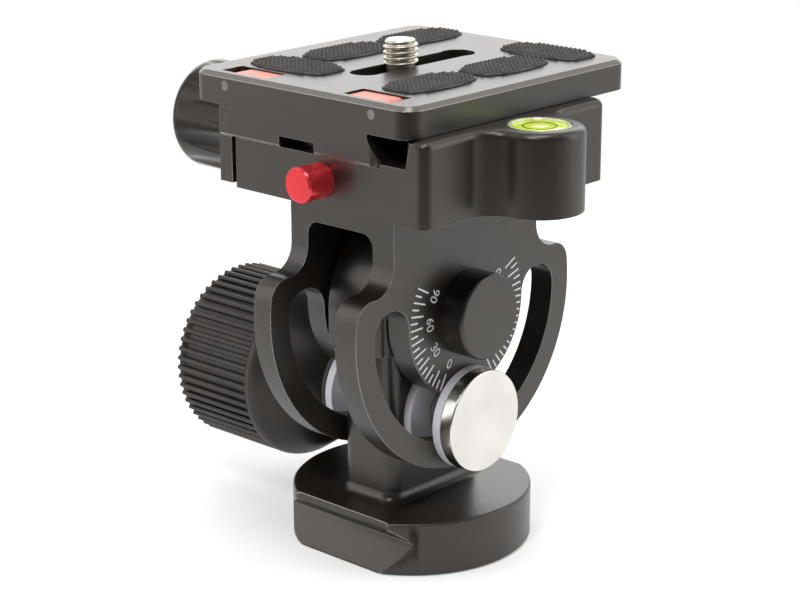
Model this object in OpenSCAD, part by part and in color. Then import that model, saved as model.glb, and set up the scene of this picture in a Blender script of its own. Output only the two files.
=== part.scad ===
// Monopod tilt head with a quick-release clamp and a sliding camera plate.
// Frame: origin at the centre of the base's underside, +X towards the steel bolt head,
// -Y towards the red release button, +Z up. The tilt axis runs along X. Millimetres.

/* [Base and stem] */
// Radius of the round base
base_r = 22.7; // [21.5:0.1:28]
// Height of the base disc
base_h = 10.4; // [9.6:0.1:16]
// Half width of the base dovetail at its foot
dovetail_foot = 20.1; // [18.5:0.1:21]
// Half width of the base dovetail at its neck
dovetail_neck = 16.75; // [15:0.05:18]
// Half width of the flats above the dovetail
dovetail_flat = 19.5; // [18.5:0.1:21]
// Height of the dovetail neck above the underside
dovetail_neck_z = 6.5; // [5:0.1:7.5]
// Height of the flat rim above the dovetail groove
dovetail_rim = 1.5; // [1:0.1:2.5]
// Chamfer of the base's edges
base_chamfer = 0.5; // [0.2:0.1:1]
// Width of the stem along the tilt axis
stem_w = 13; // [11:0.1:14]
// Length of the stem across the tilt axis
stem_l = 25; // [22:0.1:28]
// Corner radius of the stem
stem_corner = 2.7; // [1:0.1:4]
// Radius of the fillet at the stem's foot
foot_fillet = 2; // [0.5:0.1:3]
// Radius of the stem's round head
head_r = 16.5; // [15:0.1:16.8]
// How far the head's square part reaches below the tilt axis
head_drop = 6.5; // [4:0.1:8]
// Chamfer of the head's rim, clear of the corner under the fork's roof
head_chamfer = 1.7; // [1.3:0.1:3]
// Bore radius of the thread bush, 3/8 inch
bush_bore_r = 3.97; // [3.5:0.01:4.5]
// Outer radius of the thread bush
bush_r = 6.25; // [5.5:0.05:8]
// Length of the thread bush
bush_l = 9; // [6:0.1:12]

/* [Tilt joint] */
// Height of the tilt axis
pivot_z = 46.7; // [45:0.1:52]
// Radius of the pivot axle
axle_r = 4; // [3:0.1:5]
// Outer radius of the pivot bushes
pivot_bush_r = 5.5; // [5.2:0.1:7]
// Radius of the pivot caps
cap_r = 8; // [6:0.1:10]
// How far the right cap stands out
cap_right_h = 5.6; // [3:0.1:7]
// How far the left cap stands out
cap_left_h = 3.4; // [2:0.1:4]
// Distance of the clamp bolt below the tilt axis
bolt_drop = 20.3; // [19:0.1:21]
// Radius of the clamp bolt's shank
bolt_r = 4.2; // [3.5:0.1:4.3]
// Radius of the clamp bolt's head
bolt_head_r = 9.63; // [7:0.01:12]
// Thickness of the clamp bolt's head
bolt_head_h = 2.8; // [2:0.1:5]
// Radius of the nylon washers
washer_r = 9.62; // [7:0.01:12]
// Thickness of the nylon washers
washer_h = 1.75; // [1:0.05:3]

/* [Yoke] */
// Left face of the left cheek
yoke_left = -11.8; // [-13:0.1:-11]
// Right face of the right cheek
yoke_right = 13.5; // [12.5:0.1:15]
// Inner face of the left cheek
fork_left = -7.5; // [-8.5:0.1:-7.2]
// Inner face of the right cheek
fork_right = 8.4; // [7.5:0.1:9]
// Radius of the round cheeks
cheek_r = 29.6; // [28:0.1:32]
// Half width of the neck above the cheeks
neck_half = 19.8; // [18:0.1:22]
// Height of the fork's roof above the stem's head
roof_h = 0.8; // [0.6:0.1:2.5]
// Corner radius under the fork's roof
roof_corner = 2.5; // [1:0.1:5]
// Radius of the cheek's shoulder
shoulder_r = 4; // [3:0.1:6]
// Radius of the hollow between shoulder and neck
hollow_r = 5; // [4:0.1:6]
// Angle of the shoulder above the tilt axis
shoulder_angle = 8; // [4:0.5:12]
// Width of the arc slot
slot_w = 9.1; // [8.9:0.05:10]
// Radius of the screws that hold the clamp
yoke_screw_r = 2.5; // [1.5:0.1:3]
// Head radius of those screws
yoke_screw_head_r = 4.25; // [3.2:0.05:5]
// Head height of those screws
yoke_screw_head_h = 3; // [2:0.1:4]
// How deep those screws reach into the clamp
yoke_screw_grip = 4; // [2:0.1:6]
// Spacing of those screws along Y
yoke_screw_gap = 27; // [24:0.5:30]

/* [Clamp] */
// Height of the clamp's underside above the fork's roof
clamp_z = 6.55; // [5.5:0.05:12]
// Front face of the clamp
clamp_front = -29.5; // [-32:0.1:-28.5]
// Rear face of the clamp
clamp_rear = 19.5; // [18:0.1:24]
// Gap between the clamp's fixed body and the moving jaw
clamp_left = 1; // [0.6:0.1:2]
// How far the clamp's right face stands outside the plate's side
clamp_right = 3.05; // [1.75:0.05:6]
// Height of the fixed jaw's top above the underside of the plate's flanges
clamp_top = 0.1; // [-0.3:0.05:0.7]
// How far the relief at the fixed jaw's front end reaches past the plate's foot
relief_right = 5.9; // [3:0.1:7]
// Length of that relief
relief_l = 8; // [4:0.5:14]
// Corner radius of the fixed jaw
clamp_corner = 2; // [1:0.1:4]
// Distance of the level's lobe from the clamp's right face
lobe_x = 4.2; // [2.7:0.1:6]
// Radius of the level's lobe
lobe_r = 8; // [7:0.1:9]
// Radius of the hollows beside the lobe
lobe_hollow_r = 5; // [3:0.1:7]
// Radius of the level's cup
level_r = 5.6; // [4:0.1:6]
// Depth of the level's pocket
level_h = 7; // [4:0.1:10]
// Wall of the level's cup
level_wall = 0.5; // [0.3:0.05:1]
// Wall of the moving jaw beside the plate's foot
jaw_left = 0.65; // [0.35:0.05:2.95]
// Thickness of the moving jaw below the plate
jaw_h = 3.1; // [2.5:0.1:3.4]
// Height of the moving jaw's underside above the clamp's
jaw_lift = 0.65; // [0.2:0.05:1.5]
// Height of the jaw screw's axis above the clamp's underside
screw_up = 4.95; // [4.5:0.05:5.2]
// Radius of the jaw screw
jaw_screw_r = 3; // [2:0.1:3.3]
// Length of the jaw screw inside the clamp
jaw_screw_reach = 27; // [20:0.5:29]
// Length of the jaw screw inside its knob
jaw_screw_grip = 8; // [5:0.5:14]
// Radius of the jaw's guide rods
guide_r = 1.8; // [1.2:0.1:2.2]
// Spacing of the guide rods
guide_gap = 28; // [26:0.5:32]
// Length of the guide rods inside the clamp
guide_reach = 10.5; // [8:0.5:12]
// Wall of the jaw that covers the guide rods' ends
guide_wall = 0.6; // [0.3:0.1:1.5]
// Outer radius of the jaw springs
jaw_spring_r = 2.8; // [2.7:0.1:3.2]
// Length of the jaw springs, pressed together
jaw_spring_l = 4; // [2:0.1:5]

/* [Knobs] */
// Radius of the jaw knob
jaw_knob_r = 10.5; // [8:0.1:12]
// Length of the jaw knob with its hub
jaw_knob_end = 29.25; // [24:0.25:36.5]
// Length of the jaw knob's hub
jaw_knob_grip = 7.65; // [7:0.05:11]
// Radius of the jaw knob's hub
jaw_hub_r = 7; // [5:0.1:8]
// Number of scallops round the jaw knob
jaw_knob_scallops = 11; // [6:1:16]
// Width of the rounded edge at the jaw knob's end
jaw_knob_edge = 1.5; // [1.2:0.1:4]
// Radius of each scallop
scallop_r = 4; // [2:0.1:6]
// Depth of each scallop
scallop_depth = 0.9; // [0.3:0.1:1.5]
// Distance from the knob's end where the scallops begin to run out
scallop_end = 5.2; // [4:0.1:8]
// Radius of the tilt knob
tilt_knob_r = 17.4; // [14:0.1:18]
// Length of the tilt knob with its hub
tilt_knob_end = 33.65; // [30:0.05:40.5]
// Length of the tilt knob's hub and cone
tilt_knob_grip = 11.6; // [10:0.05:16.5]
// Number of grooves round the tilt knob
tilt_knob_ribs = 56; // [24:2:60]
// Radius of each groove
groove_r = 0.55; // [0.3:0.05:0.8]
// Width of the rounded edges at the tilt knob's ends
tilt_knob_edge = 1.6; // [0.6:0.1:3]
// Width of the plain rim between the grooves and the cone
tilt_knob_rim = 0.6; // [0.3:0.1:5]
// Radius of the tilt knob's hub
tilt_hub_r = 9.6; // [8:0.1:12]
// Outer radius of the tilt knob's insert
knob_insert_r = 6; // [5:0.1:8]
// Length of the thread inside the tilt knob
knob_thread_l = 24; // [15:0.5:26]

/* [Release button] */
// Centre of the button along X
button_x = 5.4; // [4:0.1:7]
// Radius of the button
button_r = 3.15; // [2.5:0.05:4]
// How far the button stands out
button_out = 5.8; // [4:0.1:8]
// Length of the button's thick part inside the clamp
button_body_l = 5.5; // [4:0.1:6]
// Length of the button's spring, pressed together
button_spring_l = 3.4; // [2:0.1:4]
// Travel of the button
button_travel = 3; // [2:0.1:3.2]
// Radius of the button's rod
button_rod_r = 1.6; // [1:0.1:1.8]
// Length of the cam on the button's rod
cam_l = 3.2; // [2.8:0.1:4]
// Radius of the safety pin
pin_r = 1.2; // [0.8:0.1:1.4]
// Distance of the safety pin to the right of the button
pin_offset = 3; // [2.6:0.1:3.4]
// How far the pin stands out of the clamp's bed
pin_out = 1.6; // [1:0.1:2]

/* [Camera plate] */
// Width of the plate
plate_w = 52.5; // [50:0.1:56]
// Length of the plate
plate_l = 60; // [58:0.1:66]
// Thickness of the plate above the underside of its flanges
plate_top = 5.6; // [5:0.1:8.7]
// Height of the flanges' underside above the foot's
flange_z = 5.55; // [5:0.05:7]
// Height of the plate's foot above the clamp's underside
plate_z = 9.2; // [8.45:0.05:11]
// Half width of the plate's foot
foot_half = 19; // [18.5:0.1:19.1]
// Half width of the plate's neck
plate_neck = 16.6; // [16:0.1:17]
// Height of the upright land at the plate's foot
foot_land_z = 0.65; // [0.4:0.05:2.25]
// Height above the foot where it has narrowed to its neck
neck_z = 4.65; // [3.75:0.05:4.85]
// Corner radius of the plate
plate_corner = 3.5; // [2:0.1:5]
// Corner radius of the plate's foot
foot_corner = 2; // [1:0.1:4]
// Chamfer round the plate's top
plate_chamfer = 0.8; // [0.3:0.1:1.5]
// Width of the camera slot
camera_slot_w = 5.7; // [5.4:0.1:6]
// Distance of the camera slot from the plate's front end
camera_slot_front = 14.8; // [13:0.1:16]
// Distance of the camera slot from the plate's rear end
camera_slot_rear = 14.3; // [13:0.1:16]
// Radius of the threaded way out at the slot's rear end
camera_exit_r = 3.2; // [3.2:0.05:3.6]
// Width of the notch under the plate's front end
notch_w = 8.4; // [6:0.1:10]
// Depth of the notch along the plate
notch_l = 4; // [2:0.1:6]
// Height of the notch
notch_h = 2; // [1:0.1:3]
// How much shorter a rubber pad is than half the plate
pad_l = 11.5; // [9.9:0.1:14]
// Width of the rubber pads
pad_w = 10.6; // [9:0.1:11.4]
// Height of the rubber pads
pad_h = 0.7; // [0.5:0.1:1.5]
// Radius of the pads' long sides
pad_side_r = 22; // [15:0.5:40]
// Radius of the pads' ends
pad_end_r = 12; // [8:0.5:20]
// Gap between neighbouring pads
pad_gap = 1.4; // [0.2:0.1:2.5]
// Distance of the lengthwise pads from the plate's middle
pad_side_x = 15.15; // [13:0.05:17]
// Distance of the crosswise pads from the plate's middle
pad_cross_x = 12.4; // [12.2:0.1:14]
// Gap between the stops' windows and the crosswise pad behind them
pad_cross_front = 0.5; // [0.1:0.05:2.15]
// Gap between the other crosswise pad and the plate's rear end
pad_cross_rear = 1.3; // [0.5:0.05:2.35]

/* [Camera screw] */
// Radius of the camera screw's thread, 1/4 inch
thread_r = 3.175; // [3:0.005:3.3]
// Length of the camera screw's thread
thread_l = 4.5; // [3.5:0.1:6]
// Place of the camera screw along the slot
screw_y = -3.2; // [-10:0.1:10]
// Radius of the camera screw's neck
screw_neck_r = 2.6; // [2:0.05:2.65]
// Radius of the camera screw's head
screw_head_r = 5.6; // [4.5:0.1:6]
// Height of the camera screw's head
screw_head_h = 3.2; // [2:0.1:3.4]
// Width of the coin slot in the camera screw's head
coin_slot_w = 1.6; // [1:0.1:2]
// Depth of the coin slot
coin_slot_h = 1.4; // [0.8:0.1:2]
// Thickness of the slide washer
slider_h = 0.8; // [0.5:0.1:1.2]

/* [Fold-up stops] */
// Inner end of the stop's window
window_in = 9.2; // [8.5:0.1:10]
// Outer end of the stop's window
window_out = 20.5; // [20:0.1:22]
// Distance of the stop's window from the plate's front end
window_front = 2; // [1.5:0.1:3]
// Distance of the window's rear side from the plate's front end
window_rear = 7.2; // [6:0.1:8]
// Distance of the hinge pin from the window's outer end
stop_pin_x = 2.9; // [2.2:0.1:4.5]
// Depth of the hinge pin below the plate's top
stop_pin_z = 2.15; // [1.9:0.05:2.3]
// Radius of the hinge pin
stop_pin_r = 0.8; // [0.5:0.05:1]
// How far the hinge pin reaches past the window
stop_pin_grip = 1.5; // [1:0.1:3]
// Half thickness of the stop
stop_half = 1.85; // [1.2:0.05:2]

/* [Clearances] */
// Radial gap of turning and sliding fits
run_gap = 0.05; // [0.02:0.01:0.1]
// Gap of seated parts that do not move
seat_gap = 0.01; // [0:0.005:0.05]
// Gap between flat faces that rub
rub_gap = 0.1; // [0.03:0.01:0.15]
// Free gap round loose parts
free_gap = 0.35; // [0.2:0.05:0.6]

/* [Hidden] */
$fn = 64;

// Colours of the finishes
black_metal = "#26262a";
dark_rubber = "#3a3a3c";
steel = "#c9c8c4";
brass = "#b9975b";
nylon = "#f0f0ee";
red = "#d8232f";
coral = "#e0705f";
lime = "#c8e024";

eps = 0.01;
past = 1;
bolt_z = pivot_z - bolt_drop;
// Heights, each from the piece below it
roof_z = pivot_z + head_r + roof_h;
seat_z = roof_z + clamp_z;
screw_z = seat_z + screw_up;
foot_z = seat_z + plate_z;
bed_z = foot_z - run_gap;
land_z = foot_z + foot_land_z;
slope_z = foot_z + neck_z;
flange_low = foot_z + flange_z;
jaw_top = flange_low + clamp_top;
deck_z = flange_low + plate_top;
hinge_z = deck_z - stop_pin_z;
// Places across the clamp and the plate
hinge_x = window_out - stop_pin_x;
clamp_side = plate_w / 2 + clamp_right;
level_x = clamp_side + lobe_x;
relief_side = foot_half + relief_right;
jaw_x = -foot_half - run_gap - jaw_left;
body_x = jaw_x + jaw_h + clamp_left;
jaw_hub_x = jaw_x - run_gap;
jaw_grip_x = jaw_hub_x - jaw_knob_grip;
jaw_end_x = jaw_hub_x - jaw_knob_end;
// Places along the plate
front_end = -plate_l / 2;
rear_end = plate_l / 2;
window_y0 = front_end + window_front;
window_y1 = front_end + window_rear;
slot_y0 = front_end + camera_slot_front;
slot_y1 = rear_end - camera_slot_rear;
pad_len = plate_l / 2 - pad_l;
pad_next = (pad_w + pad_len) / 2 + pad_gap;
pad_step = pad_len + pad_gap;
pad_front_y = window_y1 + pad_cross_front + pad_w / 2;
pad_rear_y = rear_end - pad_cross_rear - pad_w / 2;
// Places along the tilt axis
clamp_mid = (clamp_front + clamp_rear) / 2;
head_left = fork_left + rub_gap;
head_right = fork_right - rub_gap;
bolt_face = yoke_right + run_gap;
bolt_head_x = bolt_face + washer_h;
knob_face = yoke_left - run_gap;
knob_hub_x = knob_face - washer_h;
knob_thread_end = knob_hub_x - knob_thread_l;
tilt_hub_x = knob_hub_x - run_gap;
tilt_grip_x = tilt_hub_x - tilt_knob_grip;
tilt_end_x = tilt_hub_x - tilt_knob_end;
pin_x = button_x + pin_offset;
thin_wall = 0.8;
side_gap = 0.2;
button_shoulder = clamp_front + button_body_l;
button_bore_end = button_shoulder + button_travel + free_gap + button_spring_l;
pocket_front = button_bore_end + thin_wall;
cam_front = pocket_front + free_gap;
pocket_rear = cam_front + cam_l + button_travel + free_gap;
pin_y = cam_front + cam_l / 2;
pin_travel = pin_out + rub_gap;
pocket_top = screw_z + button_rod_r + rub_gap;
pin_foot_z = pocket_top + free_gap;
cam_top = pin_foot_z - pin_travel - rub_gap;
plate_forward = 10;
plate_backward = 8;
channel_top = flange_low + thin_wall;
channel_half = screw_head_r + side_gap;
channel_corner = 1;
slider_z = channel_top - slider_h - run_gap;
screw_head_z = slider_z - screw_head_h - run_gap;
thread_z = deck_z + side_gap;
window_floor = hinge_z - stop_half - side_gap;
window_corner = 0.5;
stop_end = window_in + 3 * side_gap;
spring_floor = body_x + thin_wall + jaw_spring_l;

// A round bar along X from x0 to x1
module bar_x(r, x0, x1, y = 0, z = 0) {
    translate([x0, y, z]) rotate([0, 90, 0]) cylinder(r = r, h = x1 - x0);
}

// A round bar along Y from y0 to y1
module bar_y(r, y0, y1, x = 0, z = 0) {
    translate([x, y0, z]) rotate([-90, 0, 0]) cylinder(r = r, h = y1 - y0);
}

// A ring along X with a bore
module ring_x(r, bore, x0, x1, y = 0, z = 0) {
    difference() {
        bar_x(r, x0, x1, y, z);
        bar_x(bore, x0 - past, x1 + past, y, z);
    }
}

// What is cut off to round a turned knob's end at x = 0: two chamfers
module turned_edge(r, edge) {
    for (cut = [[edge, edge / 2], [edge / 2, edge]]) rotate([0, 90, 0]) rotate_extrude()
        polygon([[r - cut.x, -eps], [r + eps, cut.y], [r + past, -eps]]);
}

// A flat outline in Y and Z, thickened along X from x0 to x1
module thick_x(x0, x1) {
    translate([x0, 0, 0]) rotate([90, 0, 90]) linear_extrude(x1 - x0) children();
}

// A flat outline in X and Z, thickened along Y from y0 to y1
module thick_y(y0, y1) {
    translate([0, y1, 0]) rotate([90, 0, 0]) linear_extrude(y1 - y0) children();
}

// A rectangle with round corners, from low corner to high corner
module round_rect(low, high, r) {
    translate([low.x + r, low.y]) square([high.x - low.x - 2 * r, high.y - low.y]);
    translate([low.x, low.y + r]) square([high.x - low.x, high.y - low.y - 2 * r]);
    for (x = [low.x + r, high.x - r], y = [low.y + r, high.y - r])
        translate([x, y]) circle(r);
}

// The round base with its two dovetail grooves
module base_disc() {
    edge = base_chamfer;
    groove_top = base_h - dovetail_rim;
    difference() {
        union() {
            cylinder(r1 = base_r - edge, r2 = base_r, h = edge);
            translate([0, 0, edge]) cylinder(r = base_r, h = base_h - 2 * edge);
            translate([0, 0, base_h - edge]) cylinder(r1 = base_r, r2 = base_r - edge, h = edge);
        }
        for (side = [0, 180]) rotate([0, 0, side]) thick_x(-base_r, base_r)
            polygon([[-base_r - past, -past], [-dovetail_foot, -past], [-dovetail_foot, edge],
                [-dovetail_neck, dovetail_neck_z], [-dovetail_flat, groove_top],
                [-dovetail_flat, base_h + past], [-base_r - past, base_h + past]]);
    }
}

// The hollow fillet round the stem's foot
module stem_foot() {
    half_w = stem_w / 2 - stem_corner;
    half_l = stem_l / 2 - stem_corner;
    module flank(inner) {
        outer = stem_corner + foot_fillet;
        difference() {
            translate([-inner, -past]) square([inner + outer, foot_fillet + past]);
            translate([outer, foot_fillet]) circle(foot_fillet);
        }
    }
    translate([0, 0, base_h]) {
        for (side = [0, 180]) rotate([0, 0, side]) {
            thick_y(-half_l, half_l) translate([half_w, 0]) flank(half_w);
            thick_x(-half_w, half_w) translate([half_l, 0]) flank(half_l);
        }
        for (x = [-1, 1], y = [-1, 1]) translate([x * half_w, y * half_l, 0])
            rotate_extrude() flank(0);
    }
}

// The stem's head: a half-round about the tilt axis on a square part, with a chamfered rim
module stem_head() {
    edge = head_chamfer;
    inner = head_r - edge;
    translate([0, 0, pivot_z]) {
        intersection() {
            rotate([0, 90, 0]) rotate_extrude() polygon([[0, head_left], [inner, head_left],
                [head_r, head_left + edge], [head_r, head_right - edge], [inner, head_right],
                [0, head_right]]);
            translate([head_left - past, -head_r - past, 0])
                cube([head_right - head_left + 2 * past, 2 * (head_r + past), head_r + past]);
        }
        translate([0, 0, -head_drop]) linear_extrude(head_drop)
            polygon([[head_left, -inner], [head_left + edge, -head_r], [head_right - edge, -head_r],
                [head_right, -inner], [head_right, inner], [head_right - edge, head_r],
                [head_left + edge, head_r], [head_left, inner]]);
    }
}

module base_stem() color(black_metal) difference() {
    union() {
        base_disc();
        stem_foot();
        translate([0, 0, base_h - past]) linear_extrude(pivot_z - head_drop - base_h + 2 * past)
            round_rect([-stem_w / 2, -stem_l / 2], [stem_w / 2, stem_l / 2], stem_corner);
        stem_head();
    }
    bar_x(pivot_bush_r + seat_gap, head_left - past, head_right + past, 0, pivot_z);
    bar_x(bolt_r + run_gap, -stem_w, stem_w, 0, bolt_z);
    translate([0, 0, -past]) cylinder(r = bush_r + seat_gap, h = bush_l + past);
}

module thread_bush() color(steel) difference() {
    cylinder(r = bush_r, h = bush_l);
    translate([0, 0, -past]) cylinder(r = bush_bore_r, h = bush_l + 2 * past);
}

// The two bushes that carry the pivot axle meet in the middle of the head
module pivot_bush(x0, x1) {
    color(brass) ring_x(pivot_bush_r, axle_r + run_gap, x0, x1, 0, pivot_z);
}
module pivot_bush_left() pivot_bush(head_left, (head_left + head_right) / 2 - seat_gap);
module pivot_bush_right() pivot_bush((head_left + head_right) / 2 + seat_gap, head_right);

module clamp_bolt() color(steel) {
    bar_x(bolt_head_r, bolt_head_x, bolt_head_x + bolt_head_h, 0, bolt_z);
    bar_x(bolt_r, knob_thread_end + past, bolt_head_x + eps, 0, bolt_z);
}

module bolt_washer() color(nylon)
    ring_x(washer_r, bolt_r + run_gap, bolt_face, bolt_head_x, 0, bolt_z);
module knob_washer() color(nylon)
    ring_x(washer_r, bolt_r + run_gap, knob_hub_x, knob_face, 0, bolt_z);
module fork_washer_left() color(nylon)
    ring_x(washer_r, bolt_r + run_gap, head_left, -stem_w / 2, 0, bolt_z);
module fork_washer_right() color(nylon)
    ring_x(washer_r, bolt_r + run_gap, stem_w / 2, head_right, 0, bolt_z);

// The ribbed hand knob that pinches the fork on the stem
module tilt_knob() color(dark_rubber) {
    rim_x = tilt_grip_x - tilt_knob_edge;
    rim_r = tilt_knob_r - tilt_knob_edge;
    groove_end = rim_x - tilt_knob_rim;
    difference() {
        union() {
            bar_x(tilt_hub_r, tilt_grip_x, tilt_hub_x, 0, bolt_z);
            translate([tilt_grip_x, 0, bolt_z]) rotate([0, 90, 0])
                cylinder(r1 = rim_r, r2 = tilt_hub_r, h = tilt_hub_x - past - tilt_grip_x);
            translate([rim_x, 0, bolt_z]) rotate([0, 90, 0])
                cylinder(r1 = tilt_knob_r, r2 = rim_r, h = tilt_knob_edge);
            bar_x(tilt_knob_r, groove_end, rim_x, 0, bolt_z);
            translate([tilt_end_x, 0, bolt_z]) rotate([90, 0, 90])
                linear_extrude(groove_end - tilt_end_x) difference() {
                    circle(tilt_knob_r);
                    for (i = [0:tilt_knob_ribs - 1]) rotate(i * 360 / tilt_knob_ribs)
                        translate([tilt_knob_r, 0]) circle(groove_r, $fn = 16);
                }
        }
        translate([tilt_end_x, 0, bolt_z]) turned_edge(tilt_knob_r, tilt_knob_edge);
        bar_x(knob_insert_r + seat_gap, knob_thread_end, tilt_hub_x + past, 0, bolt_z);
    }
}
module tilt_knob_insert() color(brass)
    ring_x(knob_insert_r, bolt_r + run_gap, knob_thread_end, tilt_hub_x, 0, bolt_z);

// The cheek's outline about the tilt axis: a round ear, shoulders and a neck
module cheek_outline() {
    top = seat_z - pivot_z;
    reach = 2 * cheek_r;
    ear = [cos(shoulder_angle), sin(shoulder_angle)];
    shoulder = (cheek_r - shoulder_r) * ear;
    hollow_y = neck_half + hollow_r;
    span = shoulder_r + hollow_r;
    hollow_z = shoulder.y + sqrt(span * span - (hollow_y - shoulder.x) * (hollow_y - shoulder.x));
    difference() {
        union() {
            intersection() {
                circle(cheek_r);
                polygon([[0, 0], reach * ear, [reach, -reach], [-reach, -reach],
                    [-reach * ear.x, reach * ear.y]]);
            }
            for (side = [-1, 1]) translate([side * shoulder.x, shoulder.y]) circle(shoulder_r);
            polygon([[0, 0], shoulder, [hollow_y, hollow_z], [neck_half, hollow_z], [neck_half, top],
                [-neck_half, top], [-neck_half, hollow_z], [-hollow_y, hollow_z],
                [-shoulder.x, shoulder.y]]);
        }
        for (side = [-1, 1]) translate([side * hollow_y, hollow_z]) circle(hollow_r);
    }
}

// The arc slot in a cheek, for a tilt of a quarter turn each way
module arc_slot() {
    reach = 2 * cheek_r;
    difference() {
        circle(bolt_drop + slot_w / 2);
        circle(bolt_drop - slot_w / 2);
        translate([-reach / 2, 0]) square(reach);
    }
    for (side = [-1, 1]) translate([side * bolt_drop, 0]) circle(slot_w / 2);
}

module yoke_screw_places() {
    for (y = [-1, 1]) translate([(fork_left + fork_right) / 2, y * yoke_screw_gap / 2, 0]) children();
}

module yoke() color(black_metal) difference() {
    thick_x(yoke_left, yoke_right) translate([0, pivot_z]) difference() {
        cheek_outline();
        arc_slot();
    }
    thick_y(-cheek_r - past, cheek_r + past) {
        translate([fork_left, 0]) square([fork_right - fork_left, roof_z - roof_corner]);
        round_rect([fork_left, roof_z - 4 * roof_corner], [fork_right, roof_z], roof_corner);
    }
    bar_x(axle_r + seat_gap, yoke_left - past, yoke_right + past, 0, pivot_z);
    yoke_screw_places() {
        translate([0, 0, roof_z - past])
            cylinder(r = yoke_screw_head_r + run_gap, h = yoke_screw_head_h + past);
        translate([0, 0, roof_z]) cylinder(r = yoke_screw_r + run_gap, h = seat_z - roof_z + past);
    }
}

// Socket-head screws from the fork's roof up into the clamp
module yoke_screws() color(steel) yoke_screw_places() {
    shank_z = roof_z + yoke_screw_head_h;
    difference() {
        translate([0, 0, roof_z]) cylinder(r = yoke_screw_head_r, h = yoke_screw_head_h);
        translate([0, 0, roof_z - past])
            cylinder(r = yoke_screw_r, h = past + yoke_screw_head_h / 2, $fn = 6);
    }
    translate([0, 0, shank_z - eps])
        cylinder(r = yoke_screw_r, h = seat_z + yoke_screw_grip - shank_z + eps);
}

module pivot_axle() color(steel)
    bar_x(axle_r, yoke_left - cap_left_h + past, yoke_right + cap_right_h / 2, 0, pivot_z);

// A pivot cap: a drum with a chamfered rim, blind bored for the axle's end
module pivot_cap(face, h, bore_h) {
    rim = 0.6;
    color(black_metal) translate([face, 0, pivot_z]) rotate([0, 90, 0]) difference() {
        union() {
            cylinder(r = cap_r, h = h - rim);
            translate([0, 0, h - rim]) cylinder(r1 = cap_r, r2 = cap_r - rim, h = rim);
        }
        translate([0, 0, -past]) cylinder(r = axle_r + seat_gap, h = bore_h + past);
    }
}
module pivot_cap_right() pivot_cap(yoke_right, cap_right_h, cap_right_h / 2 + seat_gap);
module pivot_cap_left() translate([2 * yoke_left, 0, 2 * pivot_z]) rotate([0, 180, 0])
    pivot_cap(yoke_left, cap_left_h, cap_left_h - past + seat_gap);

// The clamp's outline from above, with the level's lobe on the right
module clamp_outline() {
    hollow_x = clamp_side + lobe_hollow_r;
    span = lobe_r + lobe_hollow_r;
    half = sqrt(span * span - (hollow_x - level_x) * (hollow_x - level_x));
    low = clamp_mid - half;
    high = clamp_mid + half;
    difference() {
        union() {
            translate([body_x, clamp_front])
                square([clamp_side - clamp_corner - body_x, clamp_rear - clamp_front]);
            round_rect([0, clamp_front], [clamp_side, clamp_rear], clamp_corner);
            translate([level_x, clamp_mid]) circle(lobe_r);
            polygon([[0, low], [hollow_x, low], [level_x, clamp_mid], [hollow_x, high], [0, high]]);
        }
        for (y = [low, high]) translate([hollow_x, y]) circle(lobe_hollow_r);
    }
}

module guide_places() {
    for (y = [-1, 1]) translate([0, clamp_mid + y * guide_gap / 2, screw_z]) children();
}

module clamp_body() color(black_metal) difference() {
    translate([0, 0, seat_z]) linear_extrude(jaw_top - seat_z) clamp_outline();
    // The plate's way along Y, with the fixed jaw's undercut on the right
    thick_y(clamp_front - past, clamp_rear + past) polygon([[jaw_x - past, bed_z],
        [foot_half + run_gap, bed_z], [foot_half + run_gap, land_z],
        [plate_neck + run_gap, slope_z], [plate_neck + run_gap, jaw_top + past],
        [jaw_x - past, jaw_top + past]]);
    translate([0, clamp_front - past, flange_low - free_gap])
        cube([plate_w / 2 + free_gap, clamp_rear - clamp_front + 2 * past, jaw_top]);
    // The relief at the fixed jaw's front end, beside the plate's rounded foot
    translate([0, clamp_front - past, land_z])
        cube([relief_side, relief_l + past, jaw_top - land_z + past]);
    // Level pocket
    translate([level_x, clamp_mid, jaw_top - level_h]) cylinder(r = level_r, h = level_h + past);
    // Jaw screw, guide rods and their springs
    bar_x(jaw_screw_r + run_gap, body_x - past, body_x + jaw_screw_reach + past,
        clamp_mid, screw_z);
    guide_places() {
        bar_x(guide_r + run_gap, body_x - past, body_x + guide_reach + past);
        bar_x(jaw_spring_r + run_gap, body_x - past, spring_floor);
    }
    // Release button, its cam pocket and the safety pin
    bar_y(button_r + run_gap, clamp_front - past, button_bore_end, button_x, screw_z);
    bar_y(button_rod_r + run_gap, button_bore_end - eps, pocket_rear, button_x, screw_z);
    translate([button_x - button_rod_r - free_gap, pocket_front, seat_z - past])
        cube([button_rod_r + pin_offset + pin_r + 2 * free_gap,
            pocket_rear - pocket_front, pocket_top - seat_z + past]);
    translate([pin_x, pin_y, seat_z]) cylinder(r = pin_r + run_gap, h = bed_z - seat_z + past);
    // Threads of the screws from the yoke
    yoke_screw_places() translate([0, 0, seat_z - past])
        cylinder(r = yoke_screw_r + seat_gap, h = past + yoke_screw_grip + rub_gap);
}

module level_cup() color(nylon) translate([level_x, clamp_mid, jaw_top - level_h]) difference() {
    cylinder(r = level_r - seat_gap, h = level_h);
    translate([0, 0, past]) cylinder(r = level_r - level_wall, h = level_h);
}

module level_vial() color(lime) translate([level_x, clamp_mid, jaw_top - level_h + past]) {
    dome = 0.3;
    vial_r = level_r - level_wall - seat_gap;
    cylinder(r = vial_r, h = level_h - past - dome);
    translate([0, 0, level_h - past - dome]) cylinder(r1 = vial_r, r2 = vial_r - 2 * dome, h = dome);
}

// The springs are drawn pressed together, as closed sleeves at the ends of their bores
module jaw_springs() color(steel) guide_places()
    ring_x(jaw_spring_r, guide_r + side_gap, spring_floor - jaw_spring_l, spring_floor);

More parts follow.
